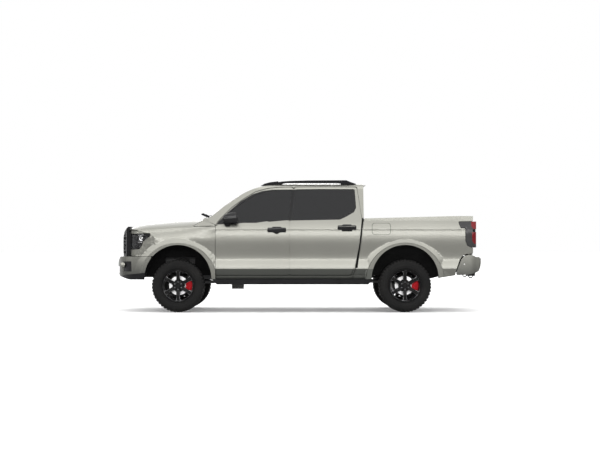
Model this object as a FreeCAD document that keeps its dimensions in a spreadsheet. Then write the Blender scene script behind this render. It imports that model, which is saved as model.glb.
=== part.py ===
import FreeCAD, Part
import Sketcher
import math
import os
from FreeCAD import Rotation, Vector

# A lifted four-door pickup truck, built from separate panels on a ladder frame.
# The front points to -X, the left side to -Y and +Z is up. The origin lies on the
# ground, midway between the faces of the two bumpers.

# Driving dimensions in millimetres, each with what it measures.
SIZES = (
    ("length", 5800, "front bumper face to rear bumper face"),
    ("wheelbase", 3550, "front axle to rear axle"),
    ("front_overhang", 1040, "front bumper face to front axle"),
    ("body_width", 2000, "over the door skins"),
    ("track_width", 1720, "between the middles of the two tyres of an axle"),
    ("tyre_diameter", 830, "over the tread"),
    ("tyre_width", 275, "over the sidewalls"),
    ("tyre_wall", 18, "tread and sidewall thickness"),
    ("rim_diameter", 530, "over the rim flanges"),
    ("rim_width", 236, "over the rim flanges"),
    ("rim_wall", 9, "rim barrel thickness"),
    ("rim_well", 20, "flange height over the barrel"),
    ("spoke_depth", 34, "spoke thickness along the axle"),
    ("spoke_width", 72, "spoke width at the rim"),
    ("hub_diameter", 150, "wheel hub"),
    ("stub_diameter", 60, "axle stub in the hub"),
    ("stub_length", 66, "axle stub inside the hub"),
    ("bearing_play", 0.08, "radial clearance of a turning fit"),
    ("disc_diameter", 380, "brake disc"),
    ("disc_thickness", 26, "brake disc"),
    ("disc_inset", 52, "tyre middle to brake disc middle"),
    ("caliper_width", 96, "brake caliper along the axle"),
    ("kingpin_inset", 110, "tyre middle to steering axis"),
    ("kingpin_diameter", 26, "ball joint shank"),
    ("knuckle_height", 300, "between the ball joints"),
    ("sill_height", 520, "ground to the lower edge of the body"),
    ("belt_height", 1437, "ground to the lower edge of the windows"),
    ("cowl_height", 1485, "ground to the foot of the windscreen"),
    ("roof_height", 2040, "ground to the roof"),
    ("arch_radius", 523, "wheel opening"),
    ("arch_height", 531, "ground to the middle of the wheel opening"),
    ("flare_lip", 91, "inner band of the wheel flare"),
    ("flare_reach", 184, "opening to the outer edge of the flare"),
    ("flare_rise", 22, "flare proud of the side"),
    ("door_setback", 585, "front axle to the front edge of the front door"),
    ("cab_to_axle", 645, "rear wall of the cab to the rear axle"),
    ("cab_gap", 20, "cab to bed"),
    ("door_thickness", 110, "door below the window"),
    ("sash_thickness", 56, "door beside the window"),
    ("door_skin", 22, "door flange below the window"),
    ("sash_skin", 18, "door flange beside the window"),
    ("seal_gap", 7, "door flange to the frame behind it"),
    ("door_overlap", 40, "door flange over the frame beside the opening"),
    ("door_play", 18, "door to the edge of its opening"),
    ("panel_gap", 7, "between neighbouring panels"),
    ("handle_length", 290, "door handles"),
    ("handle_depth", 34, "door handles"),
    ("handle_reach", 34, "door handles proud of the door"),
    ("glass_thickness", 5, "side and rear glass"),
    ("glass_inset", 6, "glass behind the skin"),
    ("fit_gap", 0.3, "between seated pieces"),
    ("cab_wall", 60, "rear wall and firewall of the cab"),
    ("floor_height", 710, "ground to the underside of the cab floor"),
    ("floor_thickness", 40, "cab floor"),
    ("sill_width", 140, "rocker box beside the floor"),
    ("fender_skin", 22, "fender"),
    ("hood_skin", 30, "hood"),
    ("bumper_skin", 40, "bumpers"),
    ("nose_setback", 84, "front bumper face to grille face"),
    ("grille_width", 1200, "between the headlamps"),
    ("grille_depth", 60, "grille shell front to back"),
    ("lamp_depth", 110, "lamp housings"),
    ("hitch_bore", 50.8, "receiver tube, inside"),
    ("bed_height", 1469, "ground to the bed rail behind the cab"),
    ("bed_rise", 37, "bed rail up to the tail"),
    ("bed_width", 1600, "inside the bed"),
    ("bed_floor", 950, "ground to the bed floor"),
    ("bed_skin", 45, "floor and outer skin of the bed"),
    ("bed_wall", 60, "front wall of the bed"),
    ("bed_setback", 145, "rear bumper face to the rear of the bed"),
    ("tailgate_thickness", 62, "tailgate"),
    ("lamp_reach", 50, "tail lamps past the rear of the bed"),
    ("tow_ring", 60, "tow rings, between the middles of their bar"),
    ("tow_bar", 18, "tow ring bar"),
    ("wheelhouse_width", 1290, "between the wheelhouses"),
    ("liner_gap", 12, "arch edge to the liner behind it"),
    ("liner_skin", 10, "arch liner"),
    ("rail_spacing", 860, "between the middles of the frame rails"),
    ("rail_width", 80, "frame rail"),
    ("rail_depth", 130, "frame rail"),
    ("rail_height", 560, "ground to the underside of the rails amidships"),
    ("kick_height", 748, "ground to the underside of the rails over the rear axle"),
    ("cross_width", 110, "frame crossmember"),
    ("axle_tube", 90, "rear axle tube diameter"),
    ("diff_diameter", 300, "rear axle centre housing"),
    ("spring_width", 65, "leaf spring"),
    ("spring_depth", 36, "leaf spring pack"),
    ("spring_length", 1300, "between the spring eyes"),
    ("damper_diameter", 58, "dampers"),
    ("coil_diameter", 90, "coil springs of the front struts"),
    ("shaft_diameter", 64, "propeller shaft and exhaust pipe"),
    ("half_shaft", 40, "front half shafts"),
    ("arm_thickness", 36, "suspension arms"),
    ("seat_width", 500, "front seats"),
    ("seat_height", 1020, "ground to the seat cushions"),
    ("seat_depth", 520, "seat cushions"),
    ("cushion", 120, "seat cushions and backs"),
    ("wheel_ring", 370, "steering wheel"),
    ("column_diameter", 30, "steering column"),
    ("mirror_reach", 190, "door mirrors beyond the doors"),
    ("step_height", 436, "ground to the underside of the side step"),
    ("step_depth", 74, "side step"),
    ("step_width", 110, "side step"),
    ("rail_bar", 34, "roof rail bar"),
    ("overrun", 40, "cuts past the faces they cut"),
)


class Size:
    """A length, kept with the expression that works it out from the sheet."""

    def __init__(self, value, text):
        self.value = float(value)
        self.text = text

    def __float__(self):
        return self.value

    def __add__(self, other):
        return join(self, other, "+", self.value + float(other))

    def __radd__(self, other):
        return join(other, self, "+", float(other) + self.value)

    def __sub__(self, other):
        return join(self, other, "-", self.value - float(other))

    def __rsub__(self, other):
        return join(other, self, "-", float(other) - self.value)

    def __mul__(self, other):
        return join(self, other, "*", self.value * float(other))

    def __rmul__(self, other):
        return join(other, self, "*", float(other) * self.value)

    def __truediv__(self, other):
        return join(self, other, "/", self.value / float(other))

    def __neg__(self):
        return join(0, self, "-", -self.value)

    def __lt__(self, other):
        return self.value < float(other)


def join(left, right, sign, value):
    return Size(value, "(" + text_of(left) + " " + sign + " " + text_of(right) + ")")


def text_of(item):
    return item.text if isinstance(item, Size) else repr(float(item))


doc = FreeCAD.newDocument("Pickup")
sheet = doc.addObject("Spreadsheet::Sheet", "Sizes")


class Named:
    """The driving dimensions by name."""


s = Named()
for row, (alias, number, meaning) in enumerate(SIZES, start=1):
    sheet.set("A%d" % row, meaning)
    sheet.set("B%d" % row, str(number))
    sheet.setAlias("B%d" % row, alias)
    setattr(s, alias, Size(number, "Sizes." + alias))
doc.recompute()

# Places that follow from the driving dimensions.
bumper_x = -s.length / 2
front_axle = bumper_x + s.front_overhang
rear_axle = front_axle + s.wheelbase
hub_height = s.tyre_diameter / 2
half = s.body_width / 2
wheel_y = s.track_width / 2
door_x = front_axle + s.door_setback
cab_rear = rear_axle - s.cab_to_axle
nose_x = bumper_x + s.nose_setback
bed_front = cab_rear + s.cab_gap
bed_rear = s.length / 2 - s.bed_setback
floor_top = s.floor_height + s.floor_thickness
kingpin_y = wheel_y - s.kingpin_inset
rail_y = s.rail_spacing / 2


def at(x, y, z):
    return Vector(float(x), float(y), float(z))


def between(low, high, share):
    return low + (high - low) * share


def cab_point(u, v):
    """A place on the side of the cab, as shares of its length and height."""
    return between(door_x, cab_rear, u), between(s.sill_height, s.roof_height, v)


def nose_point(u, v):
    """A place on the side of the front end, from the grille face to the door."""
    return between(nose_x, door_x, u), between(s.sill_height, s.cowl_height, v)


def bed_point(u, v):
    """A place on the side of the bed."""
    return between(bed_front, bed_rear, u), between(s.sill_height, s.bed_height, v)


# Plain solids that follow the sheet by themselves.


def place(item, x, y, z, rotation=None):
    if rotation:
        item.Placement.Rotation = rotation
    for axis, value in zip("xyz", (x, y, z)):
        item.setExpression("Placement.Base." + axis, text_of(value))
    return item


def box(name, x, y, z, dx, dy, dz):
    """A box from its low corner and its three lengths."""
    item = doc.addObject("Part::Box", name)
    for prop, value in zip(("Length", "Width", "Height"), (dx, dy, dz)):
        item.setExpression(prop, text_of(value))
    return place(item, x, y, z)


ALONG = {
    "x": Rotation(Vector(0, 1, 0), 90),
    "y": Rotation(Vector(1, 0, 0), -90),
    "z": Rotation(),
}


def rod(name, x, y, z, axis, diameter, run):
    """A cylinder from the middle of its low end, along an axis."""
    item = doc.addObject("Part::Cylinder", name)
    item.setExpression("Radius", text_of(diameter / 2))
    item.setExpression("Height", text_of(run))
    return place(item, x, y, z, ALONG[axis])


def ball(name, x, y, z, diameter):
    item = doc.addObject("Part::Sphere", name)
    item.setExpression("Radius", text_of(diameter / 2))
    return place(item, x, y, z)


def fused(name, *items):
    item = doc.addObject("Part::MultiFuse", name)
    item.Shapes = list(items)
    item.Refine = True
    return item


def cut(name, base, *tools):
    item = doc.addObject("Part::Cut", name)
    item.Base = base
    item.Tool = tools[0] if len(tools) == 1 else fused(name + "_tools", *tools)
    return item


def mirrored(name, source):
    item = doc.addObject("Part::Mirroring", name)
    item.Source = source
    item.Normal = Vector(0, 1, 0)
    return item


def pair(name, source):
    """A left piece and its mirror image, as two solids of one sub-part."""
    item = doc.addObject("Part::Compound", name)
    item.Links = [source, mirrored(name + "_mirror", source)]
    return item


SUBPARTS = []


def subpart(item, label):
    item.Label = label
    SUBPARTS.append(item)
    return item


def feature(label, shape):
    """A sub-part whose shape is worked out below from the sheet."""
    item = doc.addObject("Part::Feature", label)
    item.Shape = shape
    return subpart(item, label)


# Outlines, faces and solids worked out with vectors.


def rounded(points, radius):
    """A closed wire through the points, with an arc in each corner."""
    corners = []
    for i, here in enumerate(points):
        back = points[i - 1] - here
        ahead = points[(i + 1) % len(points)] - here
        reach_most = 0.45 * min(back.Length, ahead.Length)
        back.normalize()
        ahead.normalize()
        half_turn = back.getAngle(ahead) / 2
        reach = min(radius / math.tan(half_turn), reach_most)
        size = reach * math.tan(half_turn)
        middle = back + ahead
        if reach < 0.01 or middle.Length < 0.01:
            corners.append((here, None, here))
            continue
        middle.normalize()
        depth = size / math.sin(half_turn) - size
        corners.append((here + back * reach, here + middle * depth, here + ahead * reach))
    edges = []
    for i, (start, middle, end) in enumerate(corners):
        if middle is not None:
            edges.append(Part.Arc(start, middle, end).toShape())
        following = corners[(i + 1) % len(corners)][0]
        if (following - end).Length > 0.01:
            edges.append(Part.makeLine(end, following))
    return Part.Wire(edges)


def grown(points, amount):
    """A flat outline with each side moved outwards by an amount."""
    area = 0.0
    for i, (a, b) in enumerate(points):
        c, d = points[(i + 1) % len(points)]
        area += float(a) * float(d) - float(c) * float(b)
    turn = 1.0 if area > 0 else -1.0
    moved = []
    for i in range(len(points)):
        a = Vector(float(points[i - 1][0]), float(points[i - 1][1]), 0)
        b = Vector(float(points[i][0]), float(points[i][1]), 0)
        c = Vector(float(points[(i + 1) % len(points)][0]), float(points[(i + 1) % len(points)][1]), 0)
        into = (b - a).normalize()
        out = (c - b).normalize()
        side_in = Vector(into.y, -into.x, 0) * turn
        side_out = Vector(out.y, -out.x, 0) * turn
        mean = (side_in + side_out).normalize()
        moved.append(tuple(b + mean * (float(amount) / max(0.3, mean.dot(side_in))))[:2])
    return moved


def side_prism(points, radius, low_y, high_y, grow=0):
    """A solid with an outline seen from the side, between two depths."""
    outline = grown(points, grow) if float(grow) else points
    wire = rounded([at(x, low_y, z) for x, z in outline], float(radius))
    return Part.Face(wire).extrude(at(0, high_y - low_y, 0))


def plan_prism(points, radius, low_z, high_z, grow=0):
    """A solid with an outline seen from above, between two heights."""
    outline = grown(points, grow) if float(grow) else points
    wire = rounded([at(x, y, low_z) for x, y in outline], float(radius))
    return Part.Face(wire).extrude(at(0, 0, high_z - low_z))


def front_prism(points, radius, low_x, high_x, grow=0):
    """A solid with an outline seen from the front, between two places."""
    outline = grown(points, grow) if float(grow) else points
    wire = rounded([at(low_x, y, z) for y, z in outline], float(radius))
    return Part.Face(wire).extrude(at(high_x - low_x, 0, 0))


def block(x0, y0, z0, x1, y1, z1):
    """A box between two corners."""
    return Part.makeBox(
        float(x1 - x0), float(y1 - y0), float(z1 - z0), at(x0, y0, z0)
    )


def tube_y(x, z, radius, low_y, high_y):
    """A cylinder across the vehicle."""
    return Part.makeCylinder(
        float(radius), float(high_y - low_y), at(x, low_y, z), Vector(0, 1, 0)
    )


def spline(points):
    curve = Part.BSplineCurve()
    curve.interpolate(points)
    return curve.toShape()


def drawn_in(points, amounts):
    """Points moved to the left of their path, by an amount for each."""
    moved = []
    last = len(points) - 1
    for i, (a, b) in enumerate(points):
        before, after = points[max(i - 1, 0)], points[min(i + 1, last)]
        run_a, run_b = after[0] - before[0], after[1] - before[1]
        run = math.hypot(run_a, run_b)
        moved.append((a - run_b / run * amounts[i], b + run_a / run * amounts[i]))
    return moved


def other_side(points):
    return [(-y, z) for y, z in reversed(points)]


def flipped(shape):
    """The mirror image on the other side of the vehicle."""
    return shape.mirror(Vector(0, 0, 0), Vector(0, 1, 0))


def largest(shape):
    return max(shape.Solids, key=lambda one: one.Volume)


# The body side, seen from the front: shares of half the width, and of sill to belt.
SILL_SHARES = ((0.930, 0.000), (0.945, 0.065), (0.994, 0.180))
SIDE_SHARES = (
    (0.994, 0.180), (0.990, 0.235), (0.981, 0.297), (0.975, 0.335), (0.973, 0.372), (0.975, 0.430),
    (0.981, 0.495), (0.993, 0.600), (0.999, 0.687), (0.997, 0.807), (0.986, 0.905), (0.962, 1.000),
)
# The windows and roof: shares of half the width, and of belt to roof.
TOP_SHARES = (
    (0.962, 0.000), (0.910, 0.250), (0.858, 0.500), (0.806, 0.740), (0.770, 0.860),
    (0.700, 0.930), (0.580, 0.970), (0.300, 0.994), (0.000, 1.000),
)


def body_section(x, low_inset, high_inset):
    """The closed outline of the cab seen from the front, drawn in by two amounts."""
    low_inset, high_inset = float(low_inset), float(high_inset)
    sill = [
        (float(half * y), float(between(s.sill_height, s.belt_height, z)))
        for y, z in SILL_SHARES
    ]
    side = [
        (float(half * y), float(between(s.sill_height, s.belt_height, z)))
        for y, z in SIDE_SHARES
    ]
    top = [
        (float(half * y), float(between(s.belt_height, s.roof_height, z)))
        for y, z in TOP_SHARES
    ]
    side_in = [(y - low_inset, z) for y, z in side]
    sill_in = [(y - low_inset, z) for y, z in sill]
    top_in = drawn_in(top, [high_inset] * len(top))
    top_in[-1] = (0.0, top[-1][1] - high_inset)
    rise, run = top[1][1] - top[0][1], top[1][0] - top[0][0]
    top_in[0] = (top[0][0] - high_inset * math.hypot(rise, run) / rise, top[0][1])
    right_low = [at(x, y, z) for y, z in sill_in]
    right_side = [at(x, y, z) for y, z in side_in]
    over = top_in + other_side(top_in[:-1])
    left_side = [at(x, y, z) for y, z in other_side(side_in)]
    left_low = [at(x, y, z) for y, z in other_side(sill_in)]
    edges = [Part.makeLine(a, b) for a, b in zip(right_low, right_low[1:])]
    edges.append(spline(right_side))
    if (at(x, *over[0]) - right_side[-1]).Length > 0.01:
        edges.append(Part.makeLine(right_side[-1], at(x, *over[0])))
    edges.append(spline([at(x, y, z) for y, z in over]))
    if (at(x, *over[-1]) - left_side[0]).Length > 0.01:
        edges.append(Part.makeLine(at(x, *over[-1]), left_side[0]))
    edges.append(spline(left_side))
    edges += [Part.makeLine(a, b) for a, b in zip(left_low, left_low[1:])]
    edges.append(Part.makeLine(left_low[-1], right_low[0]))
    return Part.Wire(edges)


# The windscreen and roof in the middle plane, as shares of the cab side.
SCREEN_SHARES = (
    (-0.081, 0.625), (-0.040, 0.657), (0.000, 0.707), (0.084, 0.801), (0.166, 0.883),
    (0.249, 0.939), (0.332, 0.970), (0.442, 0.992), (0.550, 1.000),
)
COWL_SHARES = ((0.000, 0.545), (-0.060, 0.585))
SCREEN_AXIS_SHARE = 3.5


def cab_tube(low_inset, high_inset):
    """The cab's section along its whole length and past it."""
    past = s.cross_width * 4
    section = Part.Face(body_section(door_x - past, low_inset, high_inset))
    return section.extrude(at(cab_rear - door_x + past * 2, 0, 0))


def cab_volume(low_inset, high_inset, rear_inset, front_inset):
    """The whole cab as one solid, drawn in by the given amounts."""
    tube = cab_tube(low_inset, high_inset)
    rear = cab_rear - rear_inset
    low = block(
        door_x + front_inset, -half * 2, 0, rear, half * 2, between(s.sill_height, s.roof_height, 0.55)
    )
    screen = [tuple(float(c) for c in cab_point(u, v)) for u, v in SCREEN_SHARES]
    # The screen path runs rearwards with the cabin on its right.
    screen = drawn_in(screen, [-float(high_inset)] * len(screen))
    cowl = [tuple(float(c) for c in cab_point(u, v)) for u, v in COWL_SHARES]
    cowl = [(cowl[0][0] + float(front_inset), cowl[0][1]), (cowl[1][0] + float(high_inset), cowl[1][1])]
    axis_x = float(between(door_x, cab_rear, SCREEN_AXIS_SHARE))
    crown = screen[-1]
    curve = spline([at(x, 0, z) for x, z in screen])
    corner_points = [
        at(crown[0], 0, crown[1]), at(axis_x, 0, crown[1]), at(axis_x, 0, cowl[0][1]),
        at(cowl[0][0], 0, cowl[0][1]), at(cowl[1][0], 0, cowl[1][1]), at(screen[0][0], 0, screen[0][1]),
    ]
    edges = [curve] + [Part.makeLine(a, b) for a, b in zip(corner_points, corner_points[1:])]
    face = Part.Face(Part.Wire(edges))
    dome = face.revolve(Vector(axis_x, 0, 0), Vector(0, 0, 1), 360)
    dome = dome.common(block(door_x * 2, -half * 2, 0, rear, half * 2, s.roof_height * 2))
    return tube.common(low.fuse(dome)).removeSplitter()


# Door and window outlines, as shares of the cab side.
FRONT_DOOR = (
    (0.000, 0.039), (0.000, 0.539), (0.015, 0.586), (0.054, 0.651), (0.110, 0.737),
    (0.188, 0.826), (0.269, 0.901), (0.351, 0.938), (0.433, 0.949), (0.525, 0.951),
    (0.509, 0.737), (0.500, 0.603), (0.499, 0.513), (0.499, 0.039),
)
REAR_DOOR = (
    (0.499, 0.039), (0.499, 0.513), (0.503, 0.603), (0.516, 0.737), (0.532, 0.951),
    (0.722, 0.953), (0.955, 0.951), (0.972, 0.776), (0.987, 0.600), (0.967, 0.324),
    (0.941, 0.145), (0.914, 0.039),
)
# The gap behind the rear door, which the side of the bed follows.
GAP_LINE = ((1.004, 0.700), (0.997, 0.613), (0.974, 0.324), (0.948, 0.145), (0.915, -0.020))
FRONT_WINDOW = (
    (0.011, 0.569), (0.492, 0.605), (0.500, 0.737), (0.514, 0.926), (0.431, 0.924),
    (0.348, 0.907), (0.266, 0.867), (0.185, 0.791), (0.103, 0.703), (0.037, 0.615),
)
REAR_WINDOW = (
    (0.514, 0.606), (0.831, 0.624), (0.934, 0.704), (0.948, 0.745), (0.944, 0.842),
    (0.937, 0.930), (0.722, 0.931), (0.543, 0.928), (0.527, 0.737),
)
HANDLE_SHARES = ((0.350, 0.475, 0.474, 0.527), (0.824, 0.947, 0.505, 0.555))

outer_cab = cab_volume(0, 0, 0, 0)
skin_tube = cab_tube(s.door_skin, s.sash_skin)
pad_tube = cab_tube(s.door_skin + s.fit_gap, s.sash_skin + s.fit_gap)
frame_tube = cab_tube(s.door_skin + s.seal_gap, s.sash_skin + s.seal_gap)
inner_cab = cab_volume(s.door_thickness, s.sash_thickness, s.cab_wall, s.cab_wall)
door_back = cab_tube(s.door_thickness, s.sash_thickness)
door_clear = cab_tube(s.door_thickness + s.seal_gap, s.sash_thickness + s.seal_gap)
glass_out = cab_volume(s.glass_inset, s.glass_inset, s.glass_inset, s.glass_inset)
glass_in = cab_volume(
    s.glass_inset + s.glass_thickness, s.glass_inset + s.glass_thickness,
    s.glass_inset + s.glass_thickness, s.glass_inset + s.glass_thickness,
)

CORNER = s.panel_gap * 4
WINDOW_CORNER = s.panel_gap * 3
outside = -half - s.overrun


def on_side(shares):
    return [cab_point(u, v) for u, v in shares]


DOOR_REACH_SHARE = 0.68


def left_part(points, radius, grow=0):
    """The prism of an outline through the left side of the cab."""
    return side_prism(points, radius, outside, -half * DOOR_REACH_SHARE, grow)


door_outlines = (on_side(FRONT_DOOR), on_side(REAR_DOOR))
window_outlines = (on_side(FRONT_WINDOW), on_side(REAR_WINDOW))

# Doors: a flange layer to the outline, and a box behind it inside the opening.
door_shells = []
door_panes = []
for outline, window, handle in zip(door_outlines, window_outlines, HANDLE_SHARES):
    whole = left_part(outline, CORNER, -s.panel_gap / 2)
    inner = left_part(outline, CORNER, -s.door_overlap - s.door_play)
    flange = whole.common(outer_cab).cut(skin_tube)
    core = inner.common(outer_cab).common(skin_tube).cut(door_back)
    shell = flange.fuse(core)
    shell = shell.cut(left_part(window, WINDOW_CORNER))
    grip_x0, grip_z0 = cab_point(handle[0], handle[2])
    grip_x1, grip_z1 = cab_point(handle[1], handle[3])
    middle = between(grip_z0, grip_z1, 0.5)
    cup = Part.makeSphere(float(s.handle_length / 4))
    cup.Placement.Base = at(between(grip_x0, grip_x1, 0.5), -half - s.handle_length / 7, middle)
    shell = shell.cut(cup)
    grip = side_prism(
        ((grip_x0, middle - s.handle_depth / 2), (grip_x1, middle - s.handle_depth / 2),
         (grip_x1, middle + s.handle_depth / 2), (grip_x0, middle + s.handle_depth / 2)),
        s.handle_depth / 2.2, -half - s.handle_reach, -half - s.handle_reach / 3,
    )
    lug = side_prism(
        (
            (grip_x0, middle - s.handle_depth / 2),
            (grip_x0 + s.handle_depth * 1.4, middle - s.handle_depth / 2),
            (grip_x0 + s.handle_depth * 1.4, middle + s.handle_depth / 2),
            (grip_x0, middle + s.handle_depth / 2)
        ),
        s.handle_depth / 2.2, -half - s.handle_reach / 2, -half + s.handle_reach,
    )
    shift = at(grip_x1 - grip_x0 - s.handle_depth * 1.4, 0, 0)
    shell = shell.fuse([grip, lug, lug.translated(shift)])
    door_shells.append(largest(shell))
    pane = left_part(window, WINDOW_CORNER, -s.fit_gap)
    door_panes.append(largest(pane.common(glass_out).cut(glass_in)))

for name, shell, pane in zip(("front", "rear"), door_shells, door_panes):
    feature(name + "_door_left", shell)
    feature(name + "_door_right", flipped(shell))
    feature(name + "_glass_left", pane)
    feature(name + "_glass_right", flipped(pane))

# The front end, from sections across it: (place, ((share of half the width, height), ...)).
NOSE_SIDE_SHARES = (
    (0.994, 0.171), (0.990, 0.223), (0.981, 0.282), (0.975, 0.318), (0.973, 0.353), (0.975, 0.408),
    (0.981, 0.470), (0.993, 0.570),
)
NOSE_SECTIONS = (
    (1.02, ((0.999, 0.653), (0.997, 0.767), (0.986, 0.860), (0.930, 0.907), (0.80, 0.945), (0.50, 0.990),
            (0, 1.005))),
    (0.78, ((0.998, 0.648), (0.991, 0.745), (0.967, 0.822), (0.905, 0.858), (0.80, 0.895), (0.50, 0.953),
            (0, 0.972))),
    (0.55, ((0.996, 0.645), (0.986, 0.727), (0.948, 0.792), (0.884, 0.835), (0.80, 0.866), (0.50, 0.930),
            (0, 0.953))),
    (0.35, ((0.993, 0.622), (0.980, 0.700), (0.942, 0.763), (0.880, 0.808), (0.79, 0.845), (0.50, 0.904),
            (0, 0.924))),
    (0.20, ((0.989, 0.600), (0.975, 0.672), (0.937, 0.732), (0.880, 0.780), (0.78, 0.820), (0.50, 0.872),
            (0, 0.889))),
    (0.10, ((0.987, 0.582), (0.968, 0.642), (0.930, 0.702), (0.880, 0.745), (0.78, 0.782), (0.50, 0.820),
            (0, 0.832))),
    (0.02, ((0.984, 0.560), (0.962, 0.612), (0.925, 0.664), (0.870, 0.700), (0.77, 0.728), (0.50, 0.750),
            (0, 0.757))),
)
NOSE_PLAN = (
    (1.100, 1.040), (0.452, 1.020), (0.374, 0.985), (0.296, 0.940), (0.228, 0.880), (0.173, 0.800),
    (0.130, 0.700), (0.112, 0.560), (0.102, 0.300), (0.0986, 0.000),
)


def nose_plan_prism(inset, low_z, high_z):
    """The front end seen from above, drawn in by an amount."""
    right = [(float(between(nose_x, door_x, u)), float(half * v)) for u, v in NOSE_PLAN]
    right = drawn_in(right, [float(inset)] * len(right))
    right[-1] = (float(between(nose_x, door_x, NOSE_PLAN[-1][0]) + inset), 0.0)
    left = [(x, -y) for x, y in reversed(right[:-1])]
    curve = spline([at(x, y, low_z) for x, y in right[1:] + left[:-1]])
    ends = [at(*right[1], low_z), at(*right[0], low_z), at(*left[-1], low_z), at(*left[-2], low_z)]
    edges = [Part.makeLine(a, b) for a, b in zip(ends, ends[1:])]
    return Part.Face(Part.Wire([curve] + edges)).extrude(at(0, 0, high_z - low_z))


def nose_volume(inset):
    """The front end as one solid, drawn in by an amount."""
    inset = float(inset)
    wires = []
    for u, upper in NOSE_SECTIONS:
        x = between(nose_x, door_x, u)
        low = [
            (float(half * y) - inset, float(between(s.sill_height, s.belt_height, z)))
            for y, z in SILL_SHARES[:2]
        ]
        curve = [
            (float(half * y), float(between(s.sill_height, s.cowl_height, z)))
            for y, z in NOSE_SIDE_SHARES + upper
        ]
        curve = drawn_in(curve, [inset] * len(curve))
        curve[-1] = (0.0, curve[-1][1])
        over = curve + other_side(curve[:-1])
        down = other_side(low)
        path = [at(x, y, z) for y, z in low] + [at(x, *over[0])]
        back = [at(x, *over[-1])] + [at(x, y, z) for y, z in down]
        edges = [Part.makeLine(a, b) for a, b in zip(path, path[1:])]
        edges.append(spline([at(x, y, z) for y, z in over]))
        edges += [Part.makeLine(a, b) for a, b in zip(back, back[1:])]
        edges.append(Part.makeLine(back[-1], path[0]))
        wires.append(Part.Wire(edges))
    loft = Part.makeLoft(wires, True, False)
    return loft.common(nose_plan_prism(inset, s.sill_height - s.overrun, s.roof_height))


outer_nose = nose_volume(0)
skin_nose = nose_volume(s.fender_skin)
hood_nose = nose_volume(s.hood_skin)
stop_nose = nose_volume(s.hood_skin + s.fit_gap)

# The hood, seen from above: shares of the front end's length and of half the width.
HOOD_PLAN = (
    (0.050, 0.350), (0.050, 0.775), (0.205, 0.842), (0.420, 0.876), (0.778, 0.885), (0.838, 0.700),
    (0.854, 0.400),
)
LAMP_OUTLINE = (
    (-0.050, 0.728), (0.062, 0.733), (0.339, 0.741), (0.335, 0.699), (0.306, 0.661), (0.263, 0.609),
    (0.243, 0.528), (0.221, 0.489), (0.062, 0.472), (-0.050, 0.472),
)
HOOD_LIP_SHARE = 0.790
# The face of the grille, seen from the side and from above.
GRILLE_SIDE = (
    (0.006, 0.335), (0.012, 0.380), (0.010, 0.434), (0.003, 0.502), (0.003, 0.606), (0.008, 0.675),
    (0.017, 0.720), (0.029, 0.765), (0.045, 0.793), (0.080, 0.839), (0.087, 0.853),
)
GRILLE_PLAN = ((0.072, 0.600), (0.048, 0.450), (0.025, 0.300), (0.006, 0.150), (0.000, 0.000))
GRILLE_BACK_SHARE = 0.125


def hood_outline():
    right = [(between(nose_x, door_x, u), half * v) for u, v in HOOD_PLAN]
    return right + [(x, -y) for x, y in reversed(right)]


def hood_prism(grow):
    low_z = nose_point(0, HOOD_LIP_SHARE)[1] - grow
    return plan_prism(hood_outline(), s.panel_gap * 8, low_z, s.roof_height, grow)


hood_gap = s.panel_gap * 1.3
hood_shell = outer_nose.cut(hood_nose).common(hood_prism(-hood_gap / 2))
feature("hood", largest(hood_shell))

grille_y = s.grille_width / 2
low_seam = s.arch_height + s.arch_radius * 2 / 3
hood_space = hood_prism(hood_gap / 2)
lamp_points = [nose_point(u, v) for u, v in LAMP_OUTLINE]
arch_cut = tube_y(front_axle, s.arch_height, s.arch_radius, -half * 1.2, -s.overrun)


def flare(axle_x):
    """The wheel flare of the left side: a ring about the opening, leaning out at its top."""
    radius, lip, reach, rise = (
        float(s.arch_radius), float(s.flare_lip), float(s.flare_reach), float(s.flare_rise)
    )
    base = float(half) - float(s.flare_rise) * 0.7
    thick = float(s.fender_skin) * 2
    points = [
        (radius, -base + thick), (radius, -base), (radius + rise / 3, -base - rise / 4),
        (radius + lip, -base - rise / 4), (radius + lip + rise / 3, -base + rise / 4),
        (radius + reach, -base + rise * 1.6), (radius + reach, -base + thick),
    ]
    wire = Part.makePolygon([Vector(r, y, 0) for r, y in points + points[:1]])
    ring = Part.Face(wire).revolve(Vector(0, 0, 0), Vector(0, 1, 0), 360)
    ring.rotate(Vector(0, 0, 0), Vector(1, 0, 0), -math.degrees(math.asin(FLARE_LEAN_SHARE)))
    return ring.translated(at(axle_x, 0, s.arch_height))


FLARE_LEAN_SHARE = -0.061

front_flare = flare(front_axle)
fender_zone = block(nose_x - s.overrun, -half * 1.2, low_seam, door_x - s.panel_gap / 2, -s.overrun,
                    s.cowl_height * 1.1)
fender_zone = fender_zone.fuse(
    block(front_axle, -half * 1.2, s.sill_height, door_x - s.panel_gap / 2, -s.overrun,
          low_seam + s.overrun)
)
cowl_x, cowl_z = nose_point(0.781, 0.854)
cowl_zone = block(cowl_x, -half * 1.2, cowl_z, door_x + s.overrun, half * 1.2, s.roof_height)
fender = outer_nose.cut(skin_nose).common(fender_zone)
fender = fender.fuse(front_flare.common(fender_zone).cut(skin_nose))
fender = fender.cut(arch_cut)
fender = fender.cut(hood_space)
fender = fender.cut(cowl_zone.fuse(cowl_zone.translated(at(-s.panel_gap, 0, -s.panel_gap))))
fender = fender.cut(side_prism(lamp_points, s.panel_gap * 2, -half * 1.2, -grille_y, s.panel_gap / 2))
fender = fender.cut(
    block(nose_x - s.overrun, -grille_y - s.panel_gap / 2, 0, between(nose_x, door_x, 0.14), s.overrun,
          s.roof_height)
)
fender = largest(fender)

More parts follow.
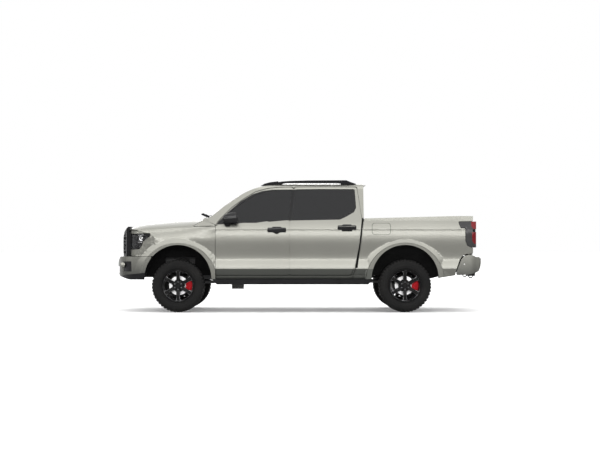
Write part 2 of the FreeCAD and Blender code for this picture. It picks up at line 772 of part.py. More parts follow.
# The cowl belongs to the cab: a skin behind the hood, down to the firewall.
cowl = outer_nose.cut(nose_volume(s.cab_wall / 2)).common(cowl_zone)
cowl = cowl.cut(hood_space).cut(outer_cab)
floor_block = block(door_x - s.door_setback, -half * 2, floor_top, bed_front, half * 2, s.roof_height * 2)
shell = outer_cab.cut(inner_cab.common(floor_block))
under = block(
    door_x - s.overrun, -half * 0.93 + s.sill_width, 0, bed_front, half * 0.93 - s.sill_width,
    s.floor_height
)
shell = shell.cut(under)
for outline in door_outlines:
    rebate = left_part(outline, CORNER, s.panel_gap).cut(frame_tube)
    hole = left_part(outline, CORNER, -s.door_overlap).cut(door_clear)
    opening = rebate.fuse(hole)
    shell = shell.cut(opening)
    shell = shell.cut(flipped(opening))

# The windscreen and rear window, seen from the front.
SCREEN_FRONT = ((0.800, 0.008), (0.625, 0.872))
REAR_GLASS = ((0.560, 0.110), (0.530, 0.730))


def front_outline(shares):
    right = [(half * y, between(s.belt_height + s.cab_wall, s.roof_height, z)) for y, z in shares]
    return right + [(-y, z) for y, z in reversed(right)]


screen_zone = (door_x - s.door_setback, between(door_x, cab_rear, 0.42))
rear_zone = (cab_rear - s.cab_wall * 2, cab_rear + s.overrun)
screen_hole = front_prism(front_outline(SCREEN_FRONT), s.cab_wall, *screen_zone)
rear_hole = front_prism(front_outline(REAR_GLASS), s.cab_wall, *rear_zone)
shell = shell.cut(screen_hole)
shell = shell.cut(rear_hole)
shell = shell.fuse(cowl)

# Pads that carry the closed doors, inside their flanges.
PAD_SHARES = ((0.006, 0.016, 0.12), (0.006, 0.016, 0.44), (0.505, 0.513, 0.12), (0.505, 0.513, 0.44))
pads = []
for u0, u1, v in PAD_SHARES:
    x0, z0 = cab_point(u0, v)
    x1, z1 = cab_point(u1, v + 0.03)
    pad = block(x0, -half, z0, x1, -half * 0.9, z1).common(pad_tube).cut(frame_tube)
    pads += [pad, flipped(pad)]
shell = shell.fuse(pads)
# Behind the gap line the side of the bed covers the corner of the cab.
gap_points = on_side(GAP_LINE)


def behind_gap(shift, reach_x, low_y, high_y):
    """The side seen behind the gap line, moved to the rear, up to a place."""
    points = [(x + shift, z) for x, z in gap_points]
    points += [(reach_x, gap_points[-1][1]), (reach_x, gap_points[0][1])]
    return side_prism(points, 0, low_y, high_y)


corner_y = half * 0.90
corner = behind_gap(0, cab_rear + s.overrun, outside, -corner_y).common(
    block(door_x, outside, 0, bed_front, -corner_y, s.bed_height + s.panel_gap * 2)
).cut(frame_tube)
shell = shell.cut([corner, flipped(corner)])
# A short lip at the rear edge of the roof.
lip_x, lip_z = cab_point(1.0, 0.955)
lip = side_prism(
    ((lip_x - s.overrun, lip_z), (lip_x + s.overrun, lip_z + s.cab_wall / 3),
     (lip_x + s.overrun, lip_z + s.cab_wall / 2),
     (lip_x - s.overrun, lip_z + s.cab_wall / 3)),
    0, -half * 0.66, half * 0.66,
)
shell = shell.fuse(lip)
feature("cab_shell", largest(shell))

screen_glass = glass_out.cut(glass_in).common(
    front_prism(front_outline(SCREEN_FRONT), s.cab_wall, *screen_zone, -s.fit_gap)
)
rear_glass = glass_out.cut(glass_in).common(
    front_prism(front_outline(REAR_GLASS), s.cab_wall, *rear_zone, -s.fit_gap)
)
feature("cab_glass", Part.makeCompound([largest(screen_glass), largest(rear_glass)]))

# The fenders hang from the cab's front face and from the apron rails of the carrier.
bar_x, bar_z = nose_point(0.150, 0.735)
apron_y = half * 0.80
apron_z = s.arch_height + s.arch_radius + s.overrun * 2
tab_low = block(door_x - s.overrun, -half * 0.98, s.floor_height + s.overrun, door_x, -half * 0.88,
                s.floor_height + s.overrun * 2)
tab_high = tab_low.translated(at(0, 0, s.overrun * 11))
tab_front = block(bar_x + s.cross_width, -half, apron_z, bar_x + s.cross_width + s.overrun, -apron_y,
                  apron_z + s.overrun)
tab_rear = tab_front.translated(at(door_x - bar_x - s.cross_width * 3, 0, 0))
tabs = tab_low.fuse([tab_high, tab_front, tab_rear]).cut(outer_cab).common(outer_nose)
fender = largest(fender.fuse(tabs))
feature("fenders", Part.makeCompound([fender, flipped(fender)]))

def bumper_volume(plan, inset, ahead, low_z, high_z):
    """A bumper's solid block, from its outline seen from above."""
    right = drawn_in(plan, [float(inset) * ahead] * len(plan))
    right[-1] = (plan[-1][0] + float(inset) * ahead, 0.0)
    left = [(x, -y) for x, y in reversed(right[:-1])]
    curve = spline([at(x, y, low_z) for x, y in right + left])
    deep = right[0][0] + float(s.door_setback) * ahead
    ends = [at(*left[-1], low_z), at(deep, left[-1][1], low_z), at(deep, right[0][1], low_z),
            at(*right[0], low_z)]
    edges = [Part.makeLine(a, b) for a, b in zip(ends, ends[1:])]
    return Part.Face(Part.Wire([curve] + edges)).extrude(at(0, 0, high_z - low_z))


def front_plan(shares):
    return [(float(between(nose_x, door_x, u)), float(half * v)) for u, v in shares]


grille_points = [nose_point(u, v) for u, v in GRILLE_SIDE]


def grille_volume(inset, past=0):
    """The space behind the grille's face, drawn in by an amount and open past its ends."""
    back_x = between(nose_x, door_x, GRILLE_BACK_SHARE)
    outline = [(x + inset, z) for x, z in grille_points]
    (low_x, low_z), (high_x, high_z) = outline[0], outline[-1]
    if float(past):
        outline = [(low_x, low_z - past)] + outline + [(high_x, high_z + past)]
    outline += [(back_x + past, high_z + past), (back_x + past, low_z - past)]
    side = side_prism(outline, 0, -half, half)
    return side.common(
        bumper_volume(front_plan(GRILLE_PLAN), inset, 1, low_z - past * 2, high_z + past * 2)
    )


lamp_back = nose_volume(s.lamp_depth)
lamp_zone = side_prism(lamp_points, s.panel_gap * 2, -half * 1.2, -grille_y - s.panel_gap / 2,
                       -s.panel_gap / 2)
lamp = largest(nose_volume(s.fit_gap * 10).cut(lamp_back).common(lamp_zone))
feature("headlamps", Part.makeCompound([lamp, flipped(lamp)]))

GRILLE_ROWS = 6
GRILLE_COLUMNS = 9
grille_body = grille_volume(0).cut(grille_volume(s.grille_depth, s.overrun))
grille_body = grille_body.cut(nose_volume(-s.panel_gap * 3).common(hood_prism(s.panel_gap * 3)))
mesh_low = between(grille_points[0][1], grille_points[-1][1], 0.13)
mesh_high = between(grille_points[0][1], grille_points[-1][1], 0.80)
cell_rise = (mesh_high - mesh_low) / GRILLE_ROWS
cell_run = (s.grille_width - s.overrun * 3) / GRILLE_COLUMNS
CELL_SHARES = ((0.43, 0.29), (0.0, 0.56), (-0.43, 0.29), (-0.43, -0.29), (0.0, -0.56), (0.43, -0.29))
cells = []
for row in range(GRILLE_ROWS):
    count = GRILLE_COLUMNS - row % 2
    for column in range(count):
        cell_y = cell_run * (column - (count - 1) / 2)
        cell_z = mesh_low + cell_rise * (row + 0.5)
        outline = [(cell_y + cell_run * u, cell_z + cell_rise * v) for u, v in CELL_SHARES]
        cells.append(front_prism(outline, 0, bumper_x, between(nose_x, door_x, GRILLE_BACK_SHARE)))
grille_body = grille_body.cut(Part.makeCompound(cells))
brace_x = bar_x - s.overrun / 2
arm_x, arm_z = nose_point(0.085, 0.540)
for side in (-1, 1):
    arm_y0, arm_y1 = sorted((float(grille_y) * 0.86 * side, float(grille_y) * 0.94 * side))
    grille_body = grille_body.fuse(block(arm_x, arm_y0, arm_z, brace_x, arm_y1, arm_z + s.overrun))
feature("grille", largest(grille_body))

# Front bumper: outlines from above and from the side.
BUMPER_PLAN = (
    (0.330, 1.000), (0.281, 0.985), (0.160, 0.930), (0.098, 0.850), (0.043, 0.700), (0.0006, 0.500),
    (-0.0253, 0.300), (-0.0545, 0.000),
)
BUMPER_SIDE = (
    (0.600, 0.375), (0.004, 0.362), (-0.040, 0.300), (-0.0545, 0.244), (-0.0545, 0.150),
    (-0.015, 0.043), (0.120, -0.010), (0.600, -0.010),
)


plan = front_plan(BUMPER_PLAN)
side_points = [nose_point(u, v) for u, v in BUMPER_SIDE]
low_z, high_z = s.sill_height - s.overrun, low_seam - s.panel_gap
bumper_zone = side_prism(side_points, s.panel_gap * 2, -half * 1.2, half * 1.2)
bumper = bumper_volume(plan, 0, 1, low_z, high_z).common(bumper_zone)
bumper_in = bumper_volume(plan, s.bumper_skin, 1, low_z - s.overrun, high_z + s.overrun)
# A shelf closes the bumper's top up to the grille.
shelf_z = side_points[1][1]
shelf = bumper.common(block(bumper_x, -half, shelf_z - s.bumper_skin / 2, between(nose_x, door_x, 0.150),
                            half, shelf_z))
shelf = shelf.cut(grille_volume(-s.panel_gap, s.panel_gap))
bumper = bumper.cut(bumper_in).fuse(shelf)
flare_part = front_flare.common(bumper_volume(plan, -s.flare_rise, 1, s.sill_height, high_z))
flare_part = flare_part.cut(bumper_volume(plan, s.bumper_skin / 2, 1, low_z, high_z))
flare_part = flare_part.common(block(nose_x, -half * 1.2, s.sill_height, front_axle, 0, high_z))
front_arches = arch_cut.fuse(flipped(arch_cut))
rear_limit = block(front_axle - s.arch_radius * 0.8, -half * 1.2, 0, front_axle + s.arch_radius * 2,
                   half * 1.2, s.belt_height)
bumper = bumper.fuse([flare_part, flipped(flare_part)]).cut(front_arches).cut(rear_limit)
FOG_POCKET = (0.062, 0.130, 0.120, 0.283, 0.660, 0.905)
fog_x0, fog_z0 = nose_point(FOG_POCKET[0] - 0.1, FOG_POCKET[2])
fog_x1, fog_z1 = nose_point(FOG_POCKET[1], FOG_POCKET[3])
pocket = block(fog_x0, -half * FOG_POCKET[5], fog_z0, fog_x1, -half * FOG_POCKET[4], fog_z1)
intake_low = nose_point(0, 0.085)[1]
intake_high = nose_point(0, 0.200)[1]
intake = block(bumper_x - s.overrun, -grille_y * 0.60, intake_low, nose_x + s.overrun, grille_y * 0.60,
               intake_high)
bumper = bumper.cut([pocket, flipped(pocket), intake])
rail_front = nose_point(0.075, 0)[0]
mount_low = s.rail_height + s.rail_width
horns = []
for side in (-1, 1):
    middle = rail_y * side
    horn = block(bumper_x, middle - s.rail_width / 3, mount_low, rail_front, middle + s.rail_width / 3,
                 mount_low + s.rail_width)
    horns.append(horn.common(bumper_volume(plan, 1, 1, low_z, high_z)))
bumper = bumper.fuse(horns)
feature("front_bumper", largest(bumper))

insert_block = bumper_volume(plan, s.bumper_skin / 2, 1, low_z, high_z).cut(
    bumper_volume(plan, s.bumper_skin, 1, low_z - s.overrun, high_z + s.overrun)
)
fog = largest(insert_block.common(pocket))
feature("bumper_inserts", Part.makeCompound([fog, flipped(fog), largest(insert_block.common(intake))]))

# The bed: side sections up to a rail that rises to the tail.
bed_start = bed_front - s.cross_width * 2
bed_face_points = [
    (float(half * y), float(between(s.sill_height, s.belt_height,
                                    z))) for y, z in SILL_SHARES + SIDE_SHARES[1:]
]


def bed_volume(inset, rear_inset):
    """The bed as one solid block, drawn in by an amount."""
    inset = float(inset)
    sill = [(y - inset, z) for y, z in bed_face_points[:3]]
    side = [(y - inset, z) for y, z in bed_face_points[2:]]
    top_y = side[-1][0] - float(s.overrun) / 3
    top_z = float(s.bed_height + s.bed_rise * 2)
    x = float(bed_start)
    edges = [Part.makeLine(at(x, *a), at(x, *b)) for a, b in zip(sill, sill[1:])]
    edges.append(spline([at(x, y, z) for y, z in side]))
    over = [side[-1], (top_y, top_z), (-top_y, top_z), (-side[-1][0], side[-1][1])]
    edges += [Part.makeLine(at(x, *a), at(x, *b)) for a, b in zip(over, over[1:])]
    edges.append(spline([at(x, -y, z) for y, z in reversed(side)]))
    down = other_side(sill) + [sill[0]]
    edges += [Part.makeLine(at(x, *a), at(x, *b)) for a, b in zip(down, down[1:])]
    tube = Part.Face(Part.Wire(edges)).extrude(at(bed_rear - bed_start - rear_inset, 0, 0))
    rail_top = s.bed_height + s.bed_rise
    low = s.sill_height - s.overrun
    under = [
        (bed_start, s.bed_height), (bed_front, s.bed_height),
        (between(bed_front, bed_rear, 0.82), rail_top), (bed_rear * 1.2, rail_top),
        (bed_rear * 1.2, low), (bed_start, low),
    ]
    tube = tube.common(side_prism(under, 0, -half * 1.2, half * 1.2))
    round_off = plan_prism(
        ((bed_start, -half * 1.2), (bed_rear - rear_inset, -half), (bed_rear - rear_inset, half),
         (bed_start, half * 1.2)),
        s.bed_wall - inset / 2, 0, s.roof_height,
    )
    return tube.common(round_off)


TAIL_LAMP = (
    (0.866, 0.946), (1.100, 0.955), (1.100, 0.526), (0.991, 0.515), (0.944, 0.552), (0.929, 0.631),
    (0.927, 0.839), (0.885, 0.841), (0.870, 0.904),
)
BED_UNDER = (
    (0.500, -0.100), (0.500, 0.012), (0.662, 0.012), (0.834, 0.058), (0.839, 0.126), (0.854, 0.217),
    (0.876, 0.322), (0.899, 0.383), (0.932, 0.412), (0.994, 0.423), (1.200, 0.423), (1.200, -0.100),
)
gate_y = s.bed_width / 2 + s.overrun
gate_front = bed_rear - s.tailgate_thickness
gate_low = between(s.sill_height, s.bed_height, 0.384)
whole_bed = bed_volume(0, 0)
outer_bed = whole_bed.common(block(bed_front, -half * 1.2, 0, bed_rear, half * 1.2, s.roof_height))
rear_flare = flare(rear_axle).common(
    block(bed_front, -half * 1.2, s.sill_height, bed_rear, -s.overrun, s.bed_height)
)
bed = outer_bed.fuse([rear_flare.cut(bed_volume(s.fender_skin, 0)),
                      flipped(rear_flare.cut(bed_volume(s.fender_skin, 0)))])
house_y = s.wheelhouse_width / 2
house_x = s.arch_radius + s.overrun
house = block(rear_axle - house_x, -s.bed_width / 2, s.bed_floor, rear_axle + house_x, -house_y,
              s.arch_height + s.arch_radius + s.overrun)
cargo = block(bed_front + s.bed_wall, -s.bed_width / 2, s.bed_floor, bed_rear * 1.1, s.bed_width / 2,
              s.roof_height)
cargo = cargo.cut([house, flipped(house)])
bed = bed.cut(cargo)
well = tube_y(rear_axle, s.arch_height, s.arch_radius, -half * 1.2, -house_y - s.overrun)
bed = bed.cut([well, flipped(well)])
bed = bed.cut(block(bed_front, -half * 0.93 + s.bed_skin, 0, bed_rear * 1.1, half * 0.93 - s.bed_skin,
                    s.bed_floor - s.bed_skin))
bed = bed.cut(side_prism([bed_point(u, v) for u, v in BED_UNDER], 0, -half * 1.2, half * 1.2))
gate_space = block(gate_front - s.fit_gap * 36, -gate_y - s.panel_gap, 0, bed_rear * 1.1,
                   gate_y + s.panel_gap, s.roof_height)
bed = bed.cut(gate_space)
tail_points = [bed_point(u, v) for u, v in TAIL_LAMP]
tail_zone = side_prism(tail_points, s.panel_gap * 2, -half * 1.2, -gate_y - s.panel_gap * 2,
                       s.panel_gap / 2)
bed = bed.cut([tail_zone, flipped(tail_zone)])
# The tailgate turns on two pins near its lower edge, in lugs under the corner posts.
gate_pin_x = gate_front + s.bed_skin
gate_pin_z = s.bed_floor - s.bed_skin
pin_radius = s.kingpin_diameter / 2
lug_reach = pin_radius * 1.25
lug = block(gate_pin_x - lug_reach, gate_y + s.panel_gap, gate_pin_z - lug_reach, gate_pin_x + lug_reach,
            gate_y + s.overrun, s.bed_floor)
bore = tube_y(gate_pin_x, gate_pin_z, pin_radius + s.bearing_play, gate_y, gate_y + s.overrun * 1.1)
bed = bed.fuse([lug, flipped(lug)]).cut([bore, flipped(bore)])
# Cross sills under the floor carry the bed on the frame.
rail_top = s.kick_height + s.rail_depth
sills = []
for share in (0.14, 0.36, 0.62, 0.86):
    sill_x = between(bed_front, bed_rear, share)
    sills.append(block(sill_x, -house_y, rail_top, sill_x + s.cross_width, house_y,
                       s.bed_floor - s.bed_skin))
bed = bed.fuse(sills)
# The side of the bed reaches forward over the corner of the cab, up to the gap line.
tongue = whole_bed.cut(bed_volume(s.door_skin, 0)).common(
    behind_gap(s.panel_gap * 2, bed_front + s.overrun, outside, -corner_y)
)
bed = bed.fuse([tongue, flipped(tongue)])
feature("bed_shell", largest(bed))

gate = outer_bed.common(block(gate_front, -gate_y, gate_low, bed_rear, gate_y, s.roof_height))
press = block(bed_rear - s.flare_rise, -gate_y * 0.45, between(gate_low, s.bed_height, 0.70),
              bed_rear + s.overrun, gate_y * 0.45,
              between(gate_low, s.bed_height, 0.92))
gate = gate.cut(press)
pins = tube_y(gate_pin_x, gate_pin_z, pin_radius, -gate_y - s.overrun * 0.8, gate_y + s.overrun * 0.8)
gate = gate.fuse(pins)
feature("tailgate", largest(gate))

tail_body = bed_volume(0, -s.lamp_reach).common(
    side_prism(tail_points, s.panel_gap * 2, -half * 1.2, -gate_y - s.panel_gap * 2 - s.fit_gap,
               s.fit_gap - s.panel_gap / 2)
)
tail_lamp = largest(tail_body)
feature("tail_lamps", Part.makeCompound([tail_lamp, flipped(tail_lamp)]))

# Rear bumper, wrapping the corners below the bed.
REAR_PLAN = (
    (0.8166, 0.985), (0.9675, 0.984), (1.0266, 0.960), (1.0669, 0.900), (1.0811, 0.700), (1.0858, 0.000),
)
REAR_SIDE = (
    (0.843, 0.063), (0.849, 0.126), (0.865, 0.210), (0.889, 0.322), (0.917, 0.380), (0.953, 0.399),
    (0.994, 0.392), (1.027, 0.366), (1.089, 0.332), (1.089, 0.307), (1.067, 0.182), (1.053, 0.132),
    (1.009, 0.095), (0.944, 0.072),
)
rear_plan = [(float(between(bed_front, bed_rear, u)), float(half * v)) for u, v in REAR_PLAN]


def rear_volume(inset, low_z, high_z):
    right = drawn_in(rear_plan, [-float(inset)] * len(rear_plan))
    right = [(x, -abs(y)) for x, y in right]
    right[-1] = (rear_plan[-1][0] - float(inset), 0.0)
    left = [(x, -y) for x, y in reversed(right[:-1])]
    curve = spline([at(x, y, low_z) for x, y in right + left])
    deep = right[0][0] - float(s.door_setback)
    ends = [at(*left[-1], low_z), at(deep, left[-1][1], low_z), at(deep, right[0][1], low_z),
            at(*right[0], low_z)]
    edges = [Part.makeLine(a, b) for a, b in zip(ends, ends[1:])]
    return Part.Face(Part.Wire([curve] + edges)).extrude(at(0, 0, high_z - low_z))


rear_low = s.sill_height
rear_high = gate_low + s.overrun / 2
rear_bumper = rear_volume(0, rear_low, rear_high).common(
    side_prism([bed_point(u, v) for u, v in REAR_SIDE], s.panel_gap * 3, -half * 1.2, half * 1.2)
)
rear_bumper = rear_bumper.cut(rear_volume(s.bumper_skin, rear_low - s.overrun, rear_high + s.overrun))
top_z = bed_point(0, 0.362)[1]
tread = rear_volume(s.bumper_skin / 2, top_z - s.bumper_skin, top_z).cut(
    block(bed_front, -half, rear_low, bed_rear + s.lamp_reach / 2, half, rear_high)
)
rear_bumper = rear_bumper.fuse(tread)
rail_rear = bed_rear
hitch_z = s.sill_height + s.overrun * 2
hitch = block(rail_rear, -s.hitch_bore, hitch_z - s.hitch_bore, s.length / 2 - s.panel_gap, s.hitch_bore,
              hitch_z + s.hitch_bore)
hitch = hitch.cut(
    block(
        rail_rear + s.overrun / 2, -s.hitch_bore / 2, hitch_z - s.hitch_bore / 2, s.length,
        s.hitch_bore / 2, hitch_z + s.hitch_bore / 2
    )
)
rear_arms = []
arm_low = s.kick_height + s.panel_gap
for side in (-1, 1):
    middle = rail_y * side
    rear_arms.append(block(rail_rear, middle - s.rail_width / 3, arm_low, s.length / 2,
                           middle + s.rail_width / 3, arm_low + s.rail_width).common(
        rear_volume(1, rear_low, rear_high)))
rear_bumper = rear_bumper.fuse(rear_arms)
post = block(rail_rear, -s.hitch_bore, hitch_z + s.hitch_bore, s.length / 2 - s.bumper_skin / 2,
             s.hitch_bore, top_z - s.bumper_skin)
rear_bumper = rear_bumper.fuse([post, hitch])
# Tow rings hang from the arms on short plates.
rings = []
ring_z = s.sill_height + s.overrun
for side in (-1, 1):
    middle = rail_y * side
    plate = block(rail_rear, middle - s.tow_bar * 0.7, ring_z + s.tow_ring / 2 - s.tow_bar / 3,
                  rail_rear + s.overrun,
                  middle + s.tow_bar * 0.7, arm_low + s.overrun / 2)
    ring_at = at(rail_rear + s.overrun / 2, middle - s.tow_bar / 2, ring_z)
    ring = Part.makeCylinder(
        float(s.tow_ring + s.tow_bar) / 2, float(s.tow_bar), ring_at, Vector(0, 1, 0)
    )
    ring = ring.cut(
        Part.makeCylinder(
            float(s.tow_ring - s.tow_bar) / 2, float(s.tow_bar), ring_at, Vector(0, 1, 0)
        )
    )
    rings += [plate, ring]
rear_bumper = rear_bumper.fuse(rings)
feature("rear_bumper", largest(rear_bumper))

# The ladder frame.
rail_back = bed_rear
kick_x = rear_axle - s.diff_diameter * 1.3
mid_front = door_x - s.door_setback * 0.4
front_low = s.rail_height + s.rail_width * 0.75
rail_low = (
    (rail_front, front_low), (mid_front, front_low), (door_x, s.rail_height), (cab_rear, s.rail_height),
    (kick_x, s.kick_height), (rail_back, s.kick_height),
)
rail_side = list(rail_low) + [(x, z + s.rail_depth) for x, z in reversed(rail_low)]
rail = side_prism(rail_side, s.rail_depth * 2, -rail_y - s.rail_width / 2, -rail_y + s.rail_width / 2)
pieces = [rail]
CROSS_PLACES = (
    (rail_front + s.cross_width / 2, front_low), (front_axle - s.cross_width / 2, front_low),
    (door_x + s.door_setback, s.rail_height + s.rail_width / 4),
    (cab_rear - s.cross_width * 7, s.rail_height + s.rail_width / 4),
    (kick_x - s.cross_width, s.kick_height - s.rail_width / 2),
    (rear_axle + s.spring_length * 0.36, s.kick_height + s.rail_width / 4),
    (rail_back - s.cross_width, s.kick_height + s.rail_width / 4),
)
for x, z in CROSS_PLACES:
    pieces.append(block(x, -rail_y, z, x + s.cross_width, 0, z + s.rail_width))
mount_top = s.floor_height
for share in (0.055, 0.50, 0.84):
    x = between(door_x, cab_rear, share)
    pieces.append(Part.makeCylinder(float(s.rail_width / 2),
                                    float(mount_top - s.rail_height - s.rail_depth),
                                    at(x, -rail_y, s.rail_height + s.rail_depth)))
knuckle_low = hub_height - s.knuckle_height / 2
knuckle_high = hub_height + s.knuckle_height / 2
arm_bottom = knuckle_low - s.arm_thickness * 0.6
arm_top = arm_bottom + s.arm_thickness
leg_x = s.cross_width * 1.65
coil_x = front_axle + s.coil_diameter * 0.9
coil_y = -rail_y - s.cross_width
tower_z = front_low + s.rail_depth + s.overrun * 1.25
for side in (-1, 1):
    x = front_axle + leg_x * side
    pieces.append(block(x - s.arm_thickness / 2, -rail_y - s.arm_thickness / 2, arm_top,
                        x + s.arm_thickness / 2,
                        -rail_y + s.arm_thickness / 2, front_low))
    pieces.append(block(x - s.arm_thickness / 2, -rail_y - s.rail_width / 2 + s.panel_gap,
                        knuckle_high + s.arm_thickness, x + s.arm_thickness / 2,
                        -rail_y, front_low))
pieces.append(block(coil_x - s.coil_diameter * 0.7, -rail_y - s.rail_width / 2, front_low + s.rail_depth,
                    coil_x + s.coil_diameter * 0.7,
                    -rail_y, tower_z))
pieces.append(block(coil_x - s.coil_diameter * 0.7, coil_y - s.coil_diameter * 0.7, tower_z,
                    coil_x + s.coil_diameter * 0.7,
                    -rail_y, tower_z + s.arm_thickness))
shock_x = rear_axle + s.cross_width
shock_y = -rail_y - s.cross_width
shock_top = s.kick_height + s.rail_width
pieces.append(block(shock_x - s.damper_diameter, shock_y - s.damper_diameter, shock_top,
                    shock_x + s.damper_diameter,
                    -rail_y, shock_top + s.arm_thickness))
step_z = s.step_height + s.step_depth
step_y = half - s.overrun * 0.4
for share in (0.10, 0.50, 0.86):
    x = between(door_x, cab_rear, share)
    foot = block(x, -step_y + s.step_width * 0.7, step_z - s.arm_thickness, x + s.overrun,
                 -rail_y + s.rail_width / 2, step_z)
    foot = foot.fuse(
        block(
            x, -rail_y - s.rail_width / 2, step_z, x + s.overrun, -rail_y + s.rail_width / 2,
            s.rail_height
        )
    )
    pieces.append(foot)
left_frame = pieces[0].fuse(pieces[1:])
frame = left_frame.fuse(flipped(left_frame)).removeSplitter()
feature("frame_rails", largest(frame))

step = side_prism(
    (
        (between(door_x, cab_rear, -0.024), step_z + s.panel_gap),
        (between(door_x, cab_rear, 0.010), s.step_height),
        (between(door_x, cab_rear, 1.03), s.step_height),
        (between(door_x, cab_rear, 1.06), step_z + s.panel_gap)
    ),
    s.panel_gap * 2, -step_y, -step_y + s.step_width,
)
step = step.cut(frame)
feature("side_steps", Part.makeCompound([largest(step), flipped(largest(step))]))

# Carrier and radiator between the front ends of the rails.
carrier_x = bar_x - s.overrun / 2
carrier_low = front_low + s.rail_depth
carrier = []
carrier.append(block(carrier_x, -grille_y * 0.94, bar_z, carrier_x + s.overrun, grille_y * 0.94,
                     bar_z + s.overrun * 0.75))
carrier.append(block(carrier_x, -grille_y * 0.94, carrier_low, carrier_x + s.overrun, grille_y * 0.94,
                     carrier_low + s.overrun))
for side in (-1, 1):
    y0, y1 = sorted((float(grille_y) * 0.80 * side, float(grille_y) * 0.94 * side))
    carrier.append(block(carrier_x, y0, carrier_low, carrier_x + s.overrun, y1, bar_z))
    y0, y1 = sorted((float(grille_y) * 0.94 * side, (float(grille_y) + float(s.panel_gap) / 2) * side))
    lug_z = nose_point(0, 0.580)[1]
    carrier.append(block(carrier_x - s.overrun * 1.5, y0, lug_z, carrier_x + s.overrun, y1,
                         lug_z + s.overrun))
    stop = Part.makeCylinder(float(s.column_diameter / 2), float(s.lamp_depth),
                             at(carrier_x + s.overrun / 2, grille_y * side * 0.87, bar_z))
    carrier.append(stop.common(stop_nose))
    y0, y1 = sorted((float(apron_y) * side, (float(apron_y) - float(s.overrun)) * side))
    carrier.append(block(carrier_x + s.overrun * 2, y0, apron_z, door_x, y1, apron_z + s.overrun))
    y0, y1 = sorted((float(apron_y) * side, float(grille_y) * 0.80 * side))
    carrier.append(block(carrier_x + s.overrun, y0, apron_z, carrier_x + s.overrun * 2, y1,
                         apron_z + s.overrun))
carrier.append(block(carrier_x + s.panel_gap, -grille_y * 0.80, carrier_low + s.overrun,
                     carrier_x + s.overrun - s.panel_gap, grille_y * 0.80,
                     bar_z))
carrier_body = carrier[0].fuse(carrier[1:]).cut([lamp, flipped(lamp)])
feature("radiator", largest(carrier_body.cut([grille_body, bumper])))

# Wheel arch liners of the steered wheels, hung from the fenders.
liner_radius = s.arch_radius + s.liner_gap
liner_y = rail_y + s.rail_width / 2 + s.arm_thickness / 2
ring = tube_y(front_axle, s.arch_height, liner_radius + s.liner_skin, -half, -liner_y).cut(
    tube_y(front_axle, s.arch_height, liner_radius, -half, -liner_y - s.liner_skin)
)
ring = ring.cut(block(front_axle - s.length, -half * 1.2, 0, front_axle + s.length, 0,
                      s.arch_height + s.overrun))
ring = ring.common(skin_nose)
ring = ring.cut(
    block(
        front_axle - leg_x * 1.3, -liner_y - s.liner_skin * 2, 0, front_axle + leg_x * 1.3, 0,
        tower_z + s.overrun * 1.5
    )
)
liner = largest(ring.cut(bumper))
# Liners of the rear wheels close the arches below the bed floor.
skirt_y = half * 0.93 - s.bed_skin - s.panel_gap
rear_liner = tube_y(rear_axle, s.arch_height, liner_radius + s.liner_skin, -skirt_y, -house_y).cut(
    tube_y(rear_axle, s.arch_height, liner_radius, -skirt_y, -house_y - s.liner_skin)
)
rear_liner = largest(
    rear_liner.common(
        block(
            bed_front + s.bed_wall, -half, s.arch_height + s.overrun, bed_rear, 0,
            s.bed_floor - s.bed_skin - s.fit_gap
        )
    )
)
feature("arch_liners", Part.makeCompound([liner, flipped(liner), rear_liner, flipped(rear_liner)]))

# Engine, gearbox, shafts, tank and exhaust.
engine_x0 = front_axle - s.diff_diameter * 1.2
engine_x1 = front_axle + s.diff_diameter
engine_low = front_low + s.rail_depth * 0.77
engine_high = s.cowl_height - s.knuckle_height * 0.8
engine_y = rail_y * 0.70
engine = box("engine", engine_x0, -engine_y, engine_low, engine_x1 - engine_x0, engine_y * 2,
             engine_high - engine_low)
mount_left = box("engine_mount_left", front_axle, -rail_y + s.rail_width / 2, engine_low, s.cross_width,
                 rail_y - s.rail_width / 2 - engine_y, s.arm_thickness / 1.5)
mount_right = mirrored("engine_mount_right", mount_left)
subpart(fused("engine_solid", engine, mount_left, mount_right), "engine_block")

bell = box("bell", engine_x1, -rail_y * 0.42, s.rail_height - s.panel_gap * 8, s.door_setback * 0.27,
           rail_y * 0.84, s.knuckle_height * 1.3)
gear_z = s.floor_height - s.cross_width * 1.1
gearbox = rod("gearbox", engine_x1 + s.door_setback * 0.27, 0, gear_z, "x", s.cross_width * 1.9,
              door_x + s.door_setback * 0.73 - engine_x1)
case_x = door_x + s.door_setback * 0.38
case = box("transfer_case", case_x, -s.diff_diameter / 2, s.step_height - s.overrun * 2.3,
           s.cross_width * 1.7,
           s.diff_diameter, gear_z - s.step_height + s.overrun * 2.3)
prop_z = s.rail_height - s.axle_tube
prop = rod("prop_shaft", case_x, 0, prop_z, "x", s.shaft_diameter,
           rear_axle - case_x - s.diff_diameter * 0.495)
front_z = s.rail_height - s.rail_width * 1.3
front_prop = rod("front_prop", front_axle, 0, front_z, "x", s.half_shaft * 1.25,
                 case_x - front_axle + s.overrun)
front_diff = ball("front_diff", front_axle, 0, hub_height + s.overrun / 2, s.diff_diameter * 0.75)
neck = box("diff_hanger", front_axle - s.overrun, -s.overrun, hub_height + s.overrun, s.overrun * 2,
           s.overrun * 2,
           front_low - hub_height - s.overrun)
shafts = rod("half_shafts", front_axle, -kingpin_y + s.overrun * 1.3, hub_height, "y", s.half_shaft,
             kingpin_y * 2 - s.overrun * 2.6)
subpart(fused("driveline_solid", bell, gearbox, case, prop, front_prop, front_diff, neck, shafts),
        "driveline")

